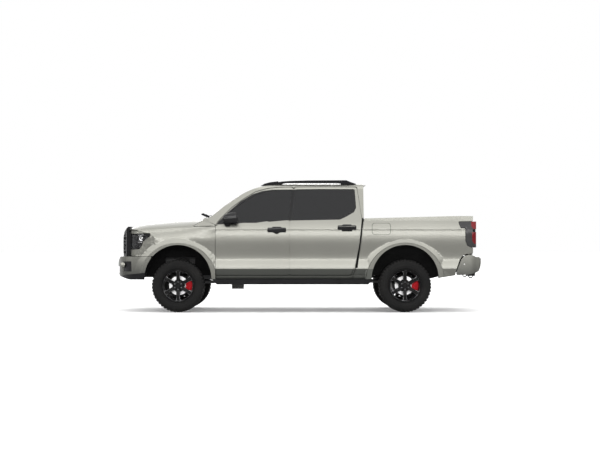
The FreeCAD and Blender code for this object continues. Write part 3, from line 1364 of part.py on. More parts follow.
tank_z = s.rail_height + s.rail_width / 4
tank = box("tank", between(door_x, cab_rear, 0.35), -rail_y + s.rail_width * 0.55,
           s.step_height + s.panel_gap * 2, s.body_width / 2 * 1.2,
           rail_y * 0.66, tank_z - s.step_height - s.panel_gap * 2)
subpart(
    fused(
        "tank_solid", tank,
        rod(
            "tank_neck", between(door_x, cab_rear, 0.37), -rail_y * 0.5, tank_z - s.overrun, "z",
            s.axle_tube, s.overrun * 1.5
        )
    ),
    "fuel_tank"
)

pipe_y = rail_y * 0.58
pipe_z = s.rail_height - s.shaft_diameter / 2
pipe_end = cab_rear - s.cross_width
outlet_y = half * 0.76
pipe = rod("pipe", engine_x1 + s.overrun, pipe_y, pipe_z, "x", s.shaft_diameter * 0.9,
           pipe_end - engine_x1 - s.overrun)
down = rod("down_pipe", engine_x1 + s.overrun, pipe_y, pipe_z, "z", s.shaft_diameter * 0.9,
           engine_low - pipe_z + s.overrun)
bend = ball("pipe_bend", pipe_end, pipe_y, pipe_z, s.shaft_diameter * 0.9)
outlet = rod("outlet", pipe_end, pipe_y, pipe_z, "y", s.shaft_diameter * 0.9, outlet_y - pipe_y)
outlet_bore = rod("outlet_bore", pipe_end, outlet_y - s.cross_width, pipe_z, "y", s.shaft_diameter * 0.7,
                  s.cross_width + s.overrun)
muffler = rod("muffler", between(door_x, cab_rear, 0.50), pipe_y, pipe_z - s.arm_thickness, "x",
              s.cross_width * 1.35,
              s.door_setback)
hanger_z = s.rail_height + s.rail_width / 4
hangers = [
    box("pipe_hanger_%d" % number, x, pipe_y - s.overrun / 4, pipe_z, s.overrun / 2, s.overrun / 2,
        hanger_z - pipe_z)
    for number, x in enumerate((door_x + s.door_setback + s.overrun, cab_rear - s.cross_width * 7))
]
subpart(cut("exhaust_solid", fused("exhaust_pipes", pipe, down, bend, outlet, muffler, *hangers),
            outlet_bore), "exhaust")

# Rear axle, springs and dampers.
tube_end = wheel_y - s.disc_inset - s.disc_thickness / 2 - s.panel_gap * 2
stub_end = wheel_y - s.disc_inset - s.disc_thickness / 2 + s.stub_length
axle = rod("axle_tube", rear_axle, -tube_end, hub_height, "y", s.axle_tube, tube_end * 2)
stubs = rod("axle_stubs", rear_axle, -stub_end, hub_height, "y", s.stub_diameter, stub_end * 2)
diff = ball("rear_diff", rear_axle, 0, hub_height, s.diff_diameter)
spring_top = hub_height + s.axle_tube / 2
seat_left = box("spring_seat", rear_axle - s.cross_width / 2, -rail_y - s.spring_width / 2, hub_height,
                s.cross_width, s.spring_width,
                s.axle_tube / 2)
shock_foot = box(
    "shock_foot", rear_axle, shock_y - s.damper_diameter / 2, hub_height - s.arm_thickness / 2,
    s.cross_width + s.damper_diameter / 2, s.damper_diameter, s.arm_thickness
)
bracket_y = -wheel_y + s.disc_inset + s.caliper_width / 2
bracket = box("caliper_bracket", rear_axle, bracket_y, hub_height - s.overrun, s.disc_diameter * 0.36,
              s.arm_thickness / 2, s.overrun * 2)
subpart(
    fused(
        "axle_solid", axle, stubs, diff, seat_left, mirrored("spring_seat_right", seat_left),
        shock_foot, mirrored("shock_foot_right", shock_foot), bracket,
        mirrored("bracket_right", bracket)
    ),
    "rear_axle"
)

SPRING_SHARES = ((-0.5, 1.0), (-0.25, 0.30), (0.0, 0.0), (0.25, 0.30), (0.5, 1.0))
low = [
    (float(rear_axle + s.spring_length * u), float(spring_top + s.rail_depth * v * 0.85))
    for u, v in SPRING_SHARES
]
high = [(x, z + float(s.spring_depth)) for x, z in low]
spring_low, spring_high = -rail_y - s.spring_width / 2, -rail_y + s.spring_width / 2
edges = [
    spline([at(x, spring_low, z) for x, z in low]),
    Part.makeLine(at(low[-1][0], spring_low, low[-1][1]), at(high[-1][0], spring_low, high[-1][1])),
    spline([at(x, spring_low, z) for x, z in reversed(high)]),
    Part.makeLine(at(high[0][0], spring_low, high[0][1]), at(low[0][0], spring_low, low[0][1])),
]
leaf = Part.Face(Part.Wire(edges)).extrude(at(0, s.spring_width, 0))
for x in (low[0][0], low[-1][0] - float(s.overrun)):
    hanger = block(x, spring_low, low[0][1] + float(s.spring_depth) / 2, x + s.overrun, spring_high,
                   s.kick_height)
    leaf = leaf.fuse(hanger)
leaf = largest(leaf.cut(frame))
feature("leaf_springs", Part.makeCompound([leaf, flipped(leaf)]))

coil = rod("front_coil", coil_x, coil_y, arm_top, "z", s.coil_diameter, tower_z - arm_top)
shock = rod("rear_shock", shock_x, shock_y, hub_height + s.arm_thickness / 2, "z", s.damper_diameter,
            shock_top - hub_height - s.arm_thickness / 2)
damper_set = doc.addObject("Part::Compound", "damper_set")
damper_set.Links = [coil, mirrored("front_coil_right", coil), shock, mirrored("rear_shock_right", shock)]
subpart(damper_set, "dampers")

# Control arms with the ball joints that carry the knuckles.
pin_x, pin_y = front_axle, -kingpin_y
narrow = s.kingpin_diameter
arm_plan = (
    (pin_x - narrow, pin_y - narrow), (pin_x + narrow, pin_y - narrow),
    (pin_x + narrow, pin_y + narrow * 2), (pin_x + leg_x + narrow, -rail_y - s.rail_width / 2),
    (pin_x + leg_x + narrow, -rail_y + s.arm_thickness / 2),
    (pin_x + leg_x - narrow, -rail_y + s.arm_thickness / 2), (pin_x, -rail_y - s.rail_width * 2),
    (pin_x - leg_x + narrow, -rail_y + s.arm_thickness / 2),
    (pin_x - leg_x - narrow, -rail_y + s.arm_thickness / 2),
    (pin_x - leg_x - narrow, -rail_y - s.rail_width / 2), (pin_x - narrow, pin_y + narrow * 2),
)
socket = s.overrun / 2
lower_arm = plan_prism(arm_plan, s.panel_gap, arm_bottom, arm_top)
lower_arm = lower_arm.fuse(
    Part.makeCylinder(
        float(narrow / 2), float(knuckle_low + socket * 2 - arm_bottom), at(pin_x, pin_y, arm_bottom)
    )
)
arm_root = -rail_y - s.arm_thickness / 2
upper_plan = (
    (pin_x - narrow, pin_y - narrow), (pin_x + narrow, pin_y - narrow),
    (pin_x + narrow, pin_y + narrow * 2), (pin_x + leg_x + narrow, -rail_y - s.rail_width * 1.6),
    (pin_x + leg_x + narrow, arm_root), (pin_x + leg_x - narrow, arm_root),
    (pin_x + leg_x - narrow, -rail_y - s.rail_width * 1.4), (pin_x, pin_y + narrow * 2.4),
    (pin_x - leg_x + narrow, -rail_y - s.rail_width * 1.4), (pin_x - leg_x + narrow, arm_root),
    (pin_x - leg_x - narrow, arm_root), (pin_x - leg_x - narrow, -rail_y - s.rail_width * 1.6),
    (pin_x - narrow, pin_y + narrow * 2),
)
upper_arm = plan_prism(upper_plan, s.panel_gap, knuckle_high, knuckle_high + s.arm_thickness)
upper_arm = upper_arm.fuse(
    Part.makeCylinder(
        float(narrow / 2), float(socket * 2), at(pin_x, pin_y, knuckle_high - socket * 2)
    )
)
arms = [lower_arm, upper_arm, flipped(lower_arm), flipped(upper_arm)]
feature("control_arms", Part.makeCompound(arms))

# Steering knuckles.
knuckle_post = box("knuckle_post", pin_x - s.kingpin_diameter, pin_y - s.kingpin_diameter, knuckle_low + socket,
           s.kingpin_diameter * 2,
           s.kingpin_diameter * 2, s.knuckle_height - socket * 2)
face = rod("knuckle_face", pin_x, -tube_end, hub_height, "y", s.axle_tube * 1.2, tube_end - kingpin_y)
stub = rod("knuckle_stub", pin_x, -stub_end, hub_height, "y", s.stub_diameter, stub_end - kingpin_y)
knuckle_arm = box("knuckle_arm", pin_x, bracket_y, hub_height - s.overrun, s.disc_diameter * 0.36,
          s.arm_thickness / 2, s.overrun * 2)
holes = rod("knuckle_bores", pin_x, pin_y, knuckle_low, "z", s.kingpin_diameter + s.bearing_play * 2,
            socket * 2 + s.fit_gap)
upper_holes = rod("knuckle_upper_bores", pin_x, pin_y, knuckle_high - socket * 2 - s.fit_gap, "z",
                  s.kingpin_diameter + s.bearing_play * 2,
                  socket * 2 + s.fit_gap)
knuckle = cut("knuckle", fused("knuckle_solid", knuckle_post, face, stub, knuckle_arm), holes, upper_holes)
subpart(knuckle, "knuckle_left")
subpart(mirrored("knuckle_mirror", knuckle), "knuckle_right")


def caliper(name, axle_x):
    """A brake caliper astride the disc, behind the axle."""
    inboard = wheel_y - s.disc_inset - s.caliper_width / 2
    outer = rod(name + "_outer", axle_x, -inboard - s.caliper_width, hub_height, "y",
                s.disc_diameter * 1.14, s.caliper_width)
    inner = rod(name + "_inner", axle_x, -inboard - s.caliper_width - s.overrun, hub_height, "y",
                s.disc_diameter * 0.60,
                s.caliper_width + s.overrun * 2)
    slot = rod(
        name + "_slot", axle_x, -inboard - s.caliper_width / 2 - s.disc_thickness / 2 - s.panel_gap,
        hub_height, "y", s.disc_diameter + s.panel_gap * 2, s.disc_thickness + s.panel_gap * 2
    )
    keep = box(name + "_keep", axle_x + s.disc_diameter * 0.2, -inboard - s.caliper_width,
               hub_height - s.disc_diameter * 0.19,
               s.disc_diameter, s.caliper_width, s.disc_diameter * 0.38)
    ring_solid = cut(name + "_ring", outer, inner, slot)
    common = doc.addObject("Part::Common", name)
    common.Base = ring_solid
    common.Tool = keep
    return common


front_caliper = caliper("front_caliper", front_axle)
subpart(front_caliper, "front_caliper_left")
subpart(mirrored("front_caliper_mirror", front_caliper), "front_caliper_right")
subpart(pair("rear_caliper_pair", caliper("rear_caliper", rear_axle)), "rear_calipers")


def plane_of(body, role):
    return next(item for item in body.Origin.OriginFeatures if item.Role == role)


def turned(name, corners):
    """A body of revolution about its Y axis, from (radius, place) corners."""
    body = doc.addObject("PartDesign::Body", name)
    sketch = body.newObject("Sketcher::SketchObject", name + "_profile")
    sketch.AttachmentSupport = [(plane_of(body, "XY_Plane"), "")]
    sketch.MapMode = "FlatFace"
    spots = [Vector(float(r), float(y), 0) for r, y in corners]
    for start, end in zip(spots, spots[1:] + spots[:1]):
        sketch.addGeometry(Part.LineSegment(start, end))
    for i in range(len(spots)):
        sketch.addConstraint(Sketcher.Constraint("Coincident", i, 2, (i + 1) % len(spots), 1))
    for i, (r, y) in enumerate(corners):
        for kind, value in (("DistanceX", r), ("DistanceY", y)):
            index = sketch.addConstraint(Sketcher.Constraint(kind, -1, 1, i, 1, float(value)))
            sketch.setExpression("Constraints[%d]" % index, text_of(value))
    turn = body.newObject("PartDesign::Revolution", name + "_turn")
    turn.Profile = sketch
    turn.ReferenceAxis = (sketch, ["V_Axis"])
    turn.Angle = 360
    return body


# Wheels: every place along the axle is measured from a point outboard of the tyre.
middle = s.tyre_width
tread = s.tyre_diameter / 2
bead = s.rim_diameter / 2 - s.rim_well
lip = s.rim_width / 2 - s.rim_wall
TYRE_SHARES = ((0.30, 0.484), (0.55, 0.500), (0.86, 0.462), (1.0, 0.380))
SPOKES = 6


def tyre_corners():
    rise = tread - bead
    out = [(bead, lip), (s.rim_diameter / 2, lip)] + [
        (bead + rise * u, s.tyre_width * v) for u, v in TYRE_SHARES
    ]
    inner = [
        (bead, lip - s.tyre_wall), (bead + rise * 0.30, s.tyre_width * 0.484 - s.tyre_wall),
        (bead + rise * 0.80, s.tyre_width * 0.455 - s.tyre_wall),
        (tread - s.tyre_wall, s.tyre_width * 0.33)
    ]
    corners = [(r, middle - w) for r, w in out] + [(r, middle + w) for r, w in reversed(out)]
    corners += [(r, middle + w) for r, w in inner] + [(r, middle - w) for r, w in reversed(inner)]
    return corners


def rim_corners():
    flange = s.rim_diameter / 2
    barrel = bead - s.rim_wall
    edge = s.rim_width / 2
    return (
        (flange, middle - edge), (flange, middle - lip), (bead, middle - lip), (bead, middle + lip),
        (flange, middle + lip), (flange, middle + edge), (barrel, middle + edge),
        (barrel, middle - edge),
    )


disc_y = middle + s.disc_inset
hub_face = middle - s.rim_width / 2 + s.overrun * 0.6


def hub_corners():
    bore = s.stub_diameter / 2 + s.bearing_play
    thick = s.disc_thickness / 2
    wide = s.hub_diameter / 2
    blind = disc_y + thick - s.stub_length - s.fit_gap
    return (
        (s.bearing_play, hub_face), (wide, hub_face), (wide, disc_y - thick),
        (s.disc_diameter / 2, disc_y - thick), (s.disc_diameter / 2, disc_y + thick),
        (bore, disc_y + thick), (bore, blind), (s.bearing_play, blind),
    )


for name, axle_x in (("front", front_axle), ("rear", rear_axle)):
    wheel_face = -wheel_y - middle
    tyre = turned(name + "_tyre_body", tyre_corners())
    rim = turned(name + "_rim_body", rim_corners())
    hub = turned(name + "_hub_body", hub_corners())
    for body in (tyre, rim, hub):
        place(body, axle_x, wheel_face, hub_height)
    core = rod(name + "_hub_core", axle_x, wheel_face + hub_face, hub_height, "y", s.stub_diameter,
               s.overrun * 0.5)
    spokes = []
    run = bead - s.rim_wall / 2
    for number in range(SPOKES):
        angle = 360 / SPOKES * (number + 0.5)
        turn_cos, turn_sin = math.cos(math.radians(angle)), math.sin(math.radians(angle))
        spoke = box("%s_spoke_%d" % (name, number), 0, 0, 0, run, s.spoke_depth, s.spoke_width)
        place(
            spoke, axle_x - s.spoke_width / 2 * turn_sin, wheel_face + hub_face,
            hub_height - s.spoke_width / 2 * turn_cos, Rotation(Vector(0, 1, 0), angle),
        )
        spokes.append(spoke)
    wheel = fused(name + "_wheel_solid", rim, hub, core, *spokes)
    subpart(wheel, name + "_rim_left")
    subpart(mirrored(name + "_wheel_mirror", wheel), name + "_rim_right")
    subpart(tyre, name + "_tyre_left")
    subpart(mirrored(name + "_tyre_mirror", tyre), name + "_tyre_right")

# Roof rails on their feet.
RAIL_OUTLINE = (
    (0.335, 0.955), (0.365, 0.983), (0.406, 1.003), (0.447, 1.013), (0.502, 1.019), (0.625, 1.024),
    (0.887, 1.026), (0.940, 0.991), (0.948, 0.950), (0.880, 0.950), (0.845, 0.990), (0.825, 0.9954),
    (0.475, 0.9954), (0.445, 0.985), (0.400, 0.940),
)
roof_rail = side_prism([cab_point(u, v) for u, v in RAIL_OUTLINE], s.panel_gap, -half * 0.655,
                       -half * 0.655 + s.rail_bar)
roof_rail = largest(roof_rail.cut(outer_cab))
feature("roof_rails", Part.makeCompound([roof_rail, flipped(roof_rail)]))

# Door mirrors.
MIRROR_HEAD = ((0.048, 0.610), (0.048, 0.680), (0.075, 0.692), (0.148, 0.685), (0.153, 0.650),
               (0.145, 0.605), (0.080, 0.598))
MIRROR_FOOT = ((0.070, 0.545), (0.072, 0.566), (0.130, 0.566), (0.130, 0.545))
head = side_prism([cab_point(u, v) for u, v in MIRROR_HEAD], s.panel_gap * 3, -half - s.mirror_reach,
                  -half - s.overrun)
plate = side_prism([cab_point(u, v) for u, v in MIRROR_FOOT], s.panel_gap, -half - s.overrun * 1.6,
                  -half * 0.94)
stalk_x, stalk_z = cab_point(0.080, 0.547)
stalk = block(stalk_x, -half - s.overrun * 1.6, stalk_z, stalk_x + s.overrun * 2, -half - s.overrun * 0.9,
            stalk_z + s.overrun * 2.4)
mirror = largest(head.fuse([plate, stalk]).cut(outer_cab))
feature("mirror_left", mirror)
feature("mirror_right", flipped(mirror))

# Dashboard, seats and steering wheel.
dash_x = door_x + s.cab_wall
dash_top = s.belt_height - s.cross_width
dash_low = s.belt_height - s.cross_width * 3.6
driver_y = -rail_y * 0.88
DASH_SHARES = ((0.00, 0.0), (0.75, 0.10), (1.00, 0.62), (0.80, 1.0), (0.00, 1.0))
dash_run = s.knuckle_height * 0.85
dash_outline = [(dash_x + dash_run * u, between(dash_low, dash_top, v)) for u, v in DASH_SHARES]
dash = side_prism(dash_outline, s.overrun, -half * 0.82, half * 0.82)
dash = dash.fuse(block(dash_x, -s.cross_width, floor_top, dash_x + dash_run * 0.6, s.cross_width,
                       dash_low + s.overrun))
lean = Rotation(Vector(0, 1, 0), 65)
column_top = at(dash_x + dash_run * 1.1, driver_y, dash_low + s.cross_width * 1.6)
column_axis = lean.multVec(Vector(0, 0, 1))
column = Part.makeCylinder(float(s.column_diameter / 2), float(s.cross_width * 2),
                           column_top - column_axis * float(s.cross_width * 1.6), column_axis)
dash = dash.fuse(column)
feature("dashboard", largest(dash))

wheel_middle = column_top + column_axis * float(s.overrun / 2)
wheel_rim = Part.makeTorus(float(s.wheel_ring / 2 - s.column_diameter / 2), float(s.column_diameter / 2),
                           wheel_middle, column_axis)
wheel_hub = Part.makeCylinder(float(s.hub_diameter / 2), float(s.overrun), column_top, column_axis)
spoke_bars = []
for angle in (0, 180, 270):
    arm = Part.makeBox(float(s.wheel_ring / 2 - s.column_diameter / 2), float(s.arm_thickness),
                       float(s.column_diameter / 2))
    arm.translate(at(0, -s.arm_thickness / 2, -s.column_diameter / 4))
    arm.rotate(Vector(0, 0, 0), Vector(0, 0, 1), angle + 90)
    arm.Placement = FreeCAD.Placement(wheel_middle, lean).multiply(arm.Placement)
    spoke_bars.append(arm)
steering_wheel = wheel_rim.fuse([wheel_hub] + spoke_bars)
steering_wheel = steering_wheel.cut(
    Part.makeCylinder(
        float(s.column_diameter / 2 + s.bearing_play), float(s.cross_width * 2),
        column_top - column_axis * float(s.cross_width * 1.6 - s.fit_gap), column_axis,
    )
)
feature("steering_wheel", largest(steering_wheel))

SEAT_SHARES = (
    (0.00, 0.00), (0.00, 1.00), (0.80, 0.86), (1.02, 4.60), (1.00, 6.20), (1.22, 6.20), (1.28, 4.60),
    (1.12, 0.60), (0.92, -0.30), (0.08, -0.30),
)


def seat(x, width, y):
    """A cushion and its back, seen from the side, on a pedestal."""
    outline = [(x + s.seat_depth * u, s.seat_height + s.cushion * (v - 1)) for u, v in SEAT_SHARES]
    body = side_prism(outline, s.overrun, y - width / 2, y + width / 2)
    base = block(x + s.overrun, y - width * 0.4, floor_top, x + s.seat_depth * 0.85, y + width * 0.4,
                 s.seat_height - s.cushion)
    return body.fuse(base).removeSplitter()


seat_y = rail_y * 0.92
front_seat = seat(between(door_x, cab_rear, 0.325), s.seat_width, -seat_y)
feature("front_seats", Part.makeCompound([front_seat, flipped(front_seat)]))
bench = seat(between(door_x, cab_rear, 0.682), s.seat_width * 2.6, 0)
feature("rear_bench", bench)

# Every feature must have worked before anything is written.
doc.recompute()
for item in doc.Objects:
    if "Invalid" in item.State or "Error" in item.State:
        raise RuntimeError("failed: " + item.Name)
for item in SUBPARTS:
    if item.Shape.isNull() or not item.Shape.isValid():
        raise RuntimeError("bad shape: " + item.Label)
os.makedirs("parts", exist_ok=True)
for item in SUBPARTS:
    item.Shape.exportStep("parts/" + item.Label + ".step")
    print(item.Label, len(item.Shape.Solids), round(item.Shape.Volume / 1e6, 2))
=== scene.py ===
import math

import bpy
import numpy
from mathutils import Matrix, Vector


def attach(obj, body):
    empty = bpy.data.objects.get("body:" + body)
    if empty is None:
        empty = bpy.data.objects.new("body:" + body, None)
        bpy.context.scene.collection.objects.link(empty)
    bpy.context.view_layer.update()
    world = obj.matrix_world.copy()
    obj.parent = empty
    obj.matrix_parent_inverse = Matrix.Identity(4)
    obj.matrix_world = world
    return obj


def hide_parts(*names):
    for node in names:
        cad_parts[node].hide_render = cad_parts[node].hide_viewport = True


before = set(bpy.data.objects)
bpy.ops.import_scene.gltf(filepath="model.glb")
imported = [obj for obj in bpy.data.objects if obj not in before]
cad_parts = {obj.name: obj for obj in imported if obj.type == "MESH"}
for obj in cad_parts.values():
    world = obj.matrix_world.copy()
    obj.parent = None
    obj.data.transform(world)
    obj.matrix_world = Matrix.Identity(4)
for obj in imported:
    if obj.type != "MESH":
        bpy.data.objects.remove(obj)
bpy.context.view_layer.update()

print("frame loaded")


# shader maths: a socket with the usual operators
class Wire:
    def __init__(self, tree, socket):
        self.tree = tree
        self.socket = socket

    def math(self, operation, other, swap=False):
        values = (other, self) if swap else (self, other)
        return self.tree.node("ShaderNodeMath", {"operation": operation}, {0: values[0], 1: values[1]})

    def __add__(self, other):
        return self.math("ADD", other)

    def __radd__(self, other):
        return self.math("ADD", other, True)

    def __sub__(self, other):
        return self.math("SUBTRACT", other)

    def __rsub__(self, other):
        return self.math("SUBTRACT", other, True)

    def __mul__(self, other):
        return self.math("MULTIPLY", other)

    def __rmul__(self, other):
        return self.math("MULTIPLY", other, True)

    def over(self, other):
        return self.math("MAXIMUM", other)


class NodeTree:
    def __init__(self, owner):
        self.owner = owner
        owner.use_nodes = True
        self.nodes = owner.node_tree.nodes
        self.links = owner.node_tree.links
        self.nodes.clear()

    def node(self, kind, settings=None, inputs=None, output=0):
        made = self.nodes.new(kind)
        for key, value in (settings or {}).items():
            if key == "stops":
                for index, (place, shade) in enumerate(value):
                    held = made.color_ramp.elements
                    stop = held[index] if index < 2 else held.new(place)
                    stop.position = place
                    stop.color = shade + (1,)
            else:
                setattr(made, key, value)
        for key, value in (inputs or {}).items():
            if isinstance(value, Wire):
                self.links.new(value.socket, made.inputs[key])
            else:
                # a tuple is a colour, given without its alpha
                made.inputs[key].default_value = value + (1,) if isinstance(value, tuple) else value
        return Wire(self, made.outputs[output]) if made.outputs else None

    def place(self):
        return self.node("ShaderNodeTexCoord", output=3)

    def noise(self, scale, detail=2, rough=0.5, at=None):
        return self.node("ShaderNodeTexNoise", None,
                         {"Vector": at or self.place(), "Scale": scale, "Detail": detail, "Roughness": rough})

    def split(self, vector, axis):
        return self.node("ShaderNodeSeparateXYZ", None, {0: vector}, axis)

    def blend(self, amount, first, second):
        return self.node("ShaderNodeMix", {"data_type": "RGBA"}, {0: amount, 6: first, 7: second}, 2)

    def steps(self, value, low, high):
        return self.node("ShaderNodeMapRange", {"clamp": True},
                         {"Value": value, "From Min": low, "From Max": high, "To Min": 0.0, "To Max": 1.0})

    def bump(self, height, distance, strength=1.0):
        return self.node("ShaderNodeBump", None,
                         {"Height": height, "Distance": distance, "Strength": strength})

    def surface(self, values):
        shader = self.node("ShaderNodeBsdfPrincipled", None, values)
        self.node("ShaderNodeOutputMaterial", None, {"Surface": shader})
        return shader


def newFinish(name):
    material = bpy.data.materials.new(name)
    return material, NodeTree(material)


# finishes: colours are linear, grain scales are per metre and depths in metres
paintLook = {"deep": (0.106, 0.105, 0.093), "bright": (0.180, 0.179, 0.160), "metallic": 0.90,
             "rough": 0.29, "edgeTint": (0.40, 0.40, 0.39), "coat": 0.18, "coatRough": 0.07,
             "flakes": 1400, "clouds": 0.9, "peels": 420, "peel": 0.00006, "paintedShade": (0.045, 0.046, 0.042),
             "lowShade": 0.55, "shadeLow": 0.45, "shadeHigh": 0.75}
# the bumpers' painted shade is stronger and reaches higher, darkening their lower parts where they turn under
bumperLook = dict(paintLook, lowShade=0.95, shadeLow=0.60, shadeHigh=0.90)
# painted reflection and shade: a darker paint for the lower sills, standing in for the dark ground they
# mirror where they turn under
sillShadeLook = dict(paintLook, deep=(0.050, 0.052, 0.047), bright=(0.075, 0.078, 0.070), rough=0.32)


def paintFinish(name, look):
    material, tree = newFinish(name)
    place = tree.place()
    flake = tree.node("ShaderNodeTexVoronoi", {"feature": "F1"},
                      {"Vector": place, "Scale": look["flakes"]}, 1)
    sparkle = tree.split(flake, 0)
    cloud = tree.noise(look["clouds"], 3, 0.5, place)
    base = tree.blend(sparkle * 0.35 + cloud * 0.5 + 0.1, look["deep"], look["bright"])
    # painted shade: the paint darkens towards the bottom, to the paintedShade colour from shadeHigh down to
    # shadeLow, and grows a little rougher there
    height = tree.split(place, 2)
    paintedShade = 1 - tree.steps(height, look["shadeLow"], look["shadeHigh"])
    base = tree.blend(paintedShade * look["lowShade"], base, look["paintedShade"])
    peel = tree.noise(look["peels"], 1, 0.4, place)
    tree.surface({"Base Color": base, "Metallic": look["metallic"],
                  "Roughness": look["rough"] + paintedShade * 0.08 + sparkle * 0.03,
                  "Specular Tint": look["edgeTint"], "Coat Weight": look["coat"],
                  "Coat Roughness": look["coatRough"], "Normal": tree.bump(peel, look["peel"])})
    return material


plainLooks = {
    # name: colour, darker colour, metallic, roughness, grain scale, grain depth, coat
    "blackPlastic": ((0.010, 0.010, 0.011), (0.006, 0.006, 0.0065), 0.0, 0.50, 900, 0.00025, 0.0),
    "glossBlack": ((0.006, 0.006, 0.0065), (0.003, 0.003, 0.0035), 0.0, 0.16, 300, 0.00002, 0.18),
    "lampBlack": ((0.007, 0.007, 0.0075), (0.012, 0.012, 0.0125), 0.0, 0.28, 300, 0.00004, 0.1),
    "lampSmoke": ((0.040, 0.040, 0.040), (0.022, 0.0215, 0.0215), 0.0, 0.20, 500, 0.00002, 0.15),
    "lampRed": ((0.17, 0.005, 0.009), (0.10, 0.003, 0.005), 0.0, 0.16, 400, 0.00003, 0.15),
    # painted shade: a near-black for jambs, gaps, grooves and inner faces, partly black seals and partly
    # painted shade where gaps and hollows fall dark
    "sealsAndGapShade": ((0.010, 0.010, 0.0095), (0.006, 0.006, 0.006), 0.0, 0.70, 300, 0.0001, 0.0),
    "frameBlack": ((0.0060, 0.0060, 0.0064), (0.011, 0.0098, 0.0085), 0.0, 0.50, 60, 0.0006, 0.0),
    "castMetal": ((0.07, 0.07, 0.072), (0.035, 0.033, 0.031), 0.5, 0.55, 220, 0.0008, 0.0),
    "exhaustSteel": ((0.34, 0.33, 0.31), (0.17, 0.14, 0.11), 0.95, 0.38, 40, 0.0002, 0.0),
    "millSilver": ((0.56, 0.56, 0.57), (0.40, 0.40, 0.41), 1.0, 0.30, 500, 0.00003, 0.0),
    "wheelBlack": ((0.0050, 0.0050, 0.0055), (0.009, 0.0085, 0.008), 0.0, 0.30, 260, 0.00004, 0.0),
    "discSteel": ((0.60, 0.60, 0.61), (0.42, 0.41, 0.40), 0.95, 0.38, 700, 0.00008, 0.0),
    "nutBlack": ((0.060, 0.060, 0.062), (0.030, 0.030, 0.031), 0.9, 0.25, 300, 0.00002, 0.0),
    "chromeTrim": ((0.72, 0.72, 0.73), (0.60, 0.60, 0.61), 1.0, 0.12, 200, 0.00001, 0.0),
    "caliperRed": ((0.56, 0.002, 0.010), (0.40, 0.0015, 0.007), 0.0, 0.40, 120, 0.0002, 0.05),
    "tyreRubber": ((0.0075, 0.0075, 0.0075), (0.013, 0.0125, 0.012), 0.0, 0.62, 420, 0.0004, 0.0),
    "bedCoating": ((0.018, 0.018, 0.019), (0.030, 0.030, 0.030), 0.0, 0.72, 260, 0.0012, 0.0),
    "linerFelt": ((0.006, 0.006, 0.006), (0.010, 0.010, 0.010), 0.0, 0.85, 200, 0.0008, 0.0),
    "cabinPlastic": ((0.030, 0.030, 0.032), (0.020, 0.020, 0.022), 0.0, 0.55, 700, 0.0003, 0.0),
    "mirrorGlass": ((0.62, 0.63, 0.64), (0.60, 0.61, 0.62), 1.0, 0.03, 40, 0.0, 0.0),
    "plateBlank": ((0.60, 0.60, 0.58), (0.52, 0.52, 0.50), 0.0, 0.35, 30, 0.0001, 0.3),
}


patchLook = {"scale": 4.5, "low": 0.42, "high": 0.68, "share": 0.7, "grainShare": 0.25}


def grainFinish(name, look):
    colour, worn, metallic, rough, scale, depth, coat = look
    material, tree = newFinish(name)
    place = tree.place()
    grain = tree.noise(scale, 3, 0.6, place)
    patch = tree.steps(tree.noise(patchLook["scale"], 4, 0.6, place), patchLook["low"], patchLook["high"])
    wear = patch * patchLook["share"] + grain * patchLook["grainShare"]
    tree.surface({"Base Color": tree.blend(wear, colour, worn), "Metallic": metallic,
                  "Roughness": rough - 0.05 + grain * 0.12, "Coat Weight": coat, "Coat Roughness": 0.08,
                  "Specular IOR Level": 0.5 if metallic > 0.4 else 0.07,
                  "Normal": tree.bump(grain, depth)})
    return material


finishes = {name: grainFinish(name, look) for name, look in plainLooks.items()}
finishes["paint"] = paintFinish("paint", paintLook)
finishes["bumperPaint"] = paintFinish("bumperPaint", bumperLook)
finishes["paintedSillShade"] = paintFinish("paintedSillShade", sillShadeLook)


def glassFinish(name, colour, opacity):
    material, tree = newFinish(name)
    smear = tree.noise(7, 3, 0.6)
    tree.surface({"Base Color": tree.blend(smear * 0.3, colour, tuple(0.7 * c for c in colour)),
                  "Roughness": 0.03 + smear * 0.02, "Specular IOR Level": 0.17,
                  "Alpha": opacity + smear * 0.02})
    return material


finishes["tintedGlass"] = glassFinish("tintedGlass", (0.004, 0.0042, 0.005), 0.94)
finishes["clearLens"] = glassFinish("clearLens", (0.05, 0.05, 0.0525), 0.10)


clothLook = {"threads": 130, "mottles": 14, "depth": 0.0006, "rough": 0.86, "sheen": 0.25}


def clothFinish(name, colour, dark):
    material, tree = newFinish(name)
    place = tree.place()
    warp, weft = (tree.node("ShaderNodeTexWave", {"wave_type": "BANDS", "bands_direction": way},
                            {"Vector": place, "Scale": clothLook["threads"]}) for way in "XY")
    weave = warp * weft
    mottle = tree.noise(clothLook["mottles"], 3, 0.6, place)
    tree.surface({"Base Color": tree.blend(weave * 0.6 + mottle * 0.3, dark, colour),
                  "Roughness": clothLook["rough"], "Sheen Weight": clothLook["sheen"],
                  "Normal": tree.bump(weave, clothLook["depth"])})
    return material


finishes["seatCloth"] = clothFinish("seatCloth", (0.060, 0.060, 0.064), (0.022, 0.022, 0.024))
print("finishes made")

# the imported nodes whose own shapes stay, by finish
nodeFinishes = {
    "frameBlack": ["frame_rails", "radiator", "rear_axle", "leaf_springs", "control_arms"],
    "blackPlastic": ["grille", "bumper_inserts", "side_steps", "fuel_tank", "roof_rails"],
    "linerFelt": ["arch_liners"],
    "castMetal": ["engine_block", "driveline", "dampers", "knuckle_left", "knuckle_right"],
    "exhaustSteel": ["exhaust"],
    "caliperRed": ["rear_calipers", "front_caliper_left", "front_caliper_right"],
    "cabinPlastic": ["dashboard", "steering_wheel"],
    "tintedGlass": ["cab_glass", "front_glass_left", "front_glass_right", "rear_glass_left",
                    "rear_glass_right"],
}
for finish, nodes in nodeFinishes.items():
    for node in nodes:
        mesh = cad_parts[node].data
        mesh.materials.clear()
        mesh.materials.append(finishes[finish])


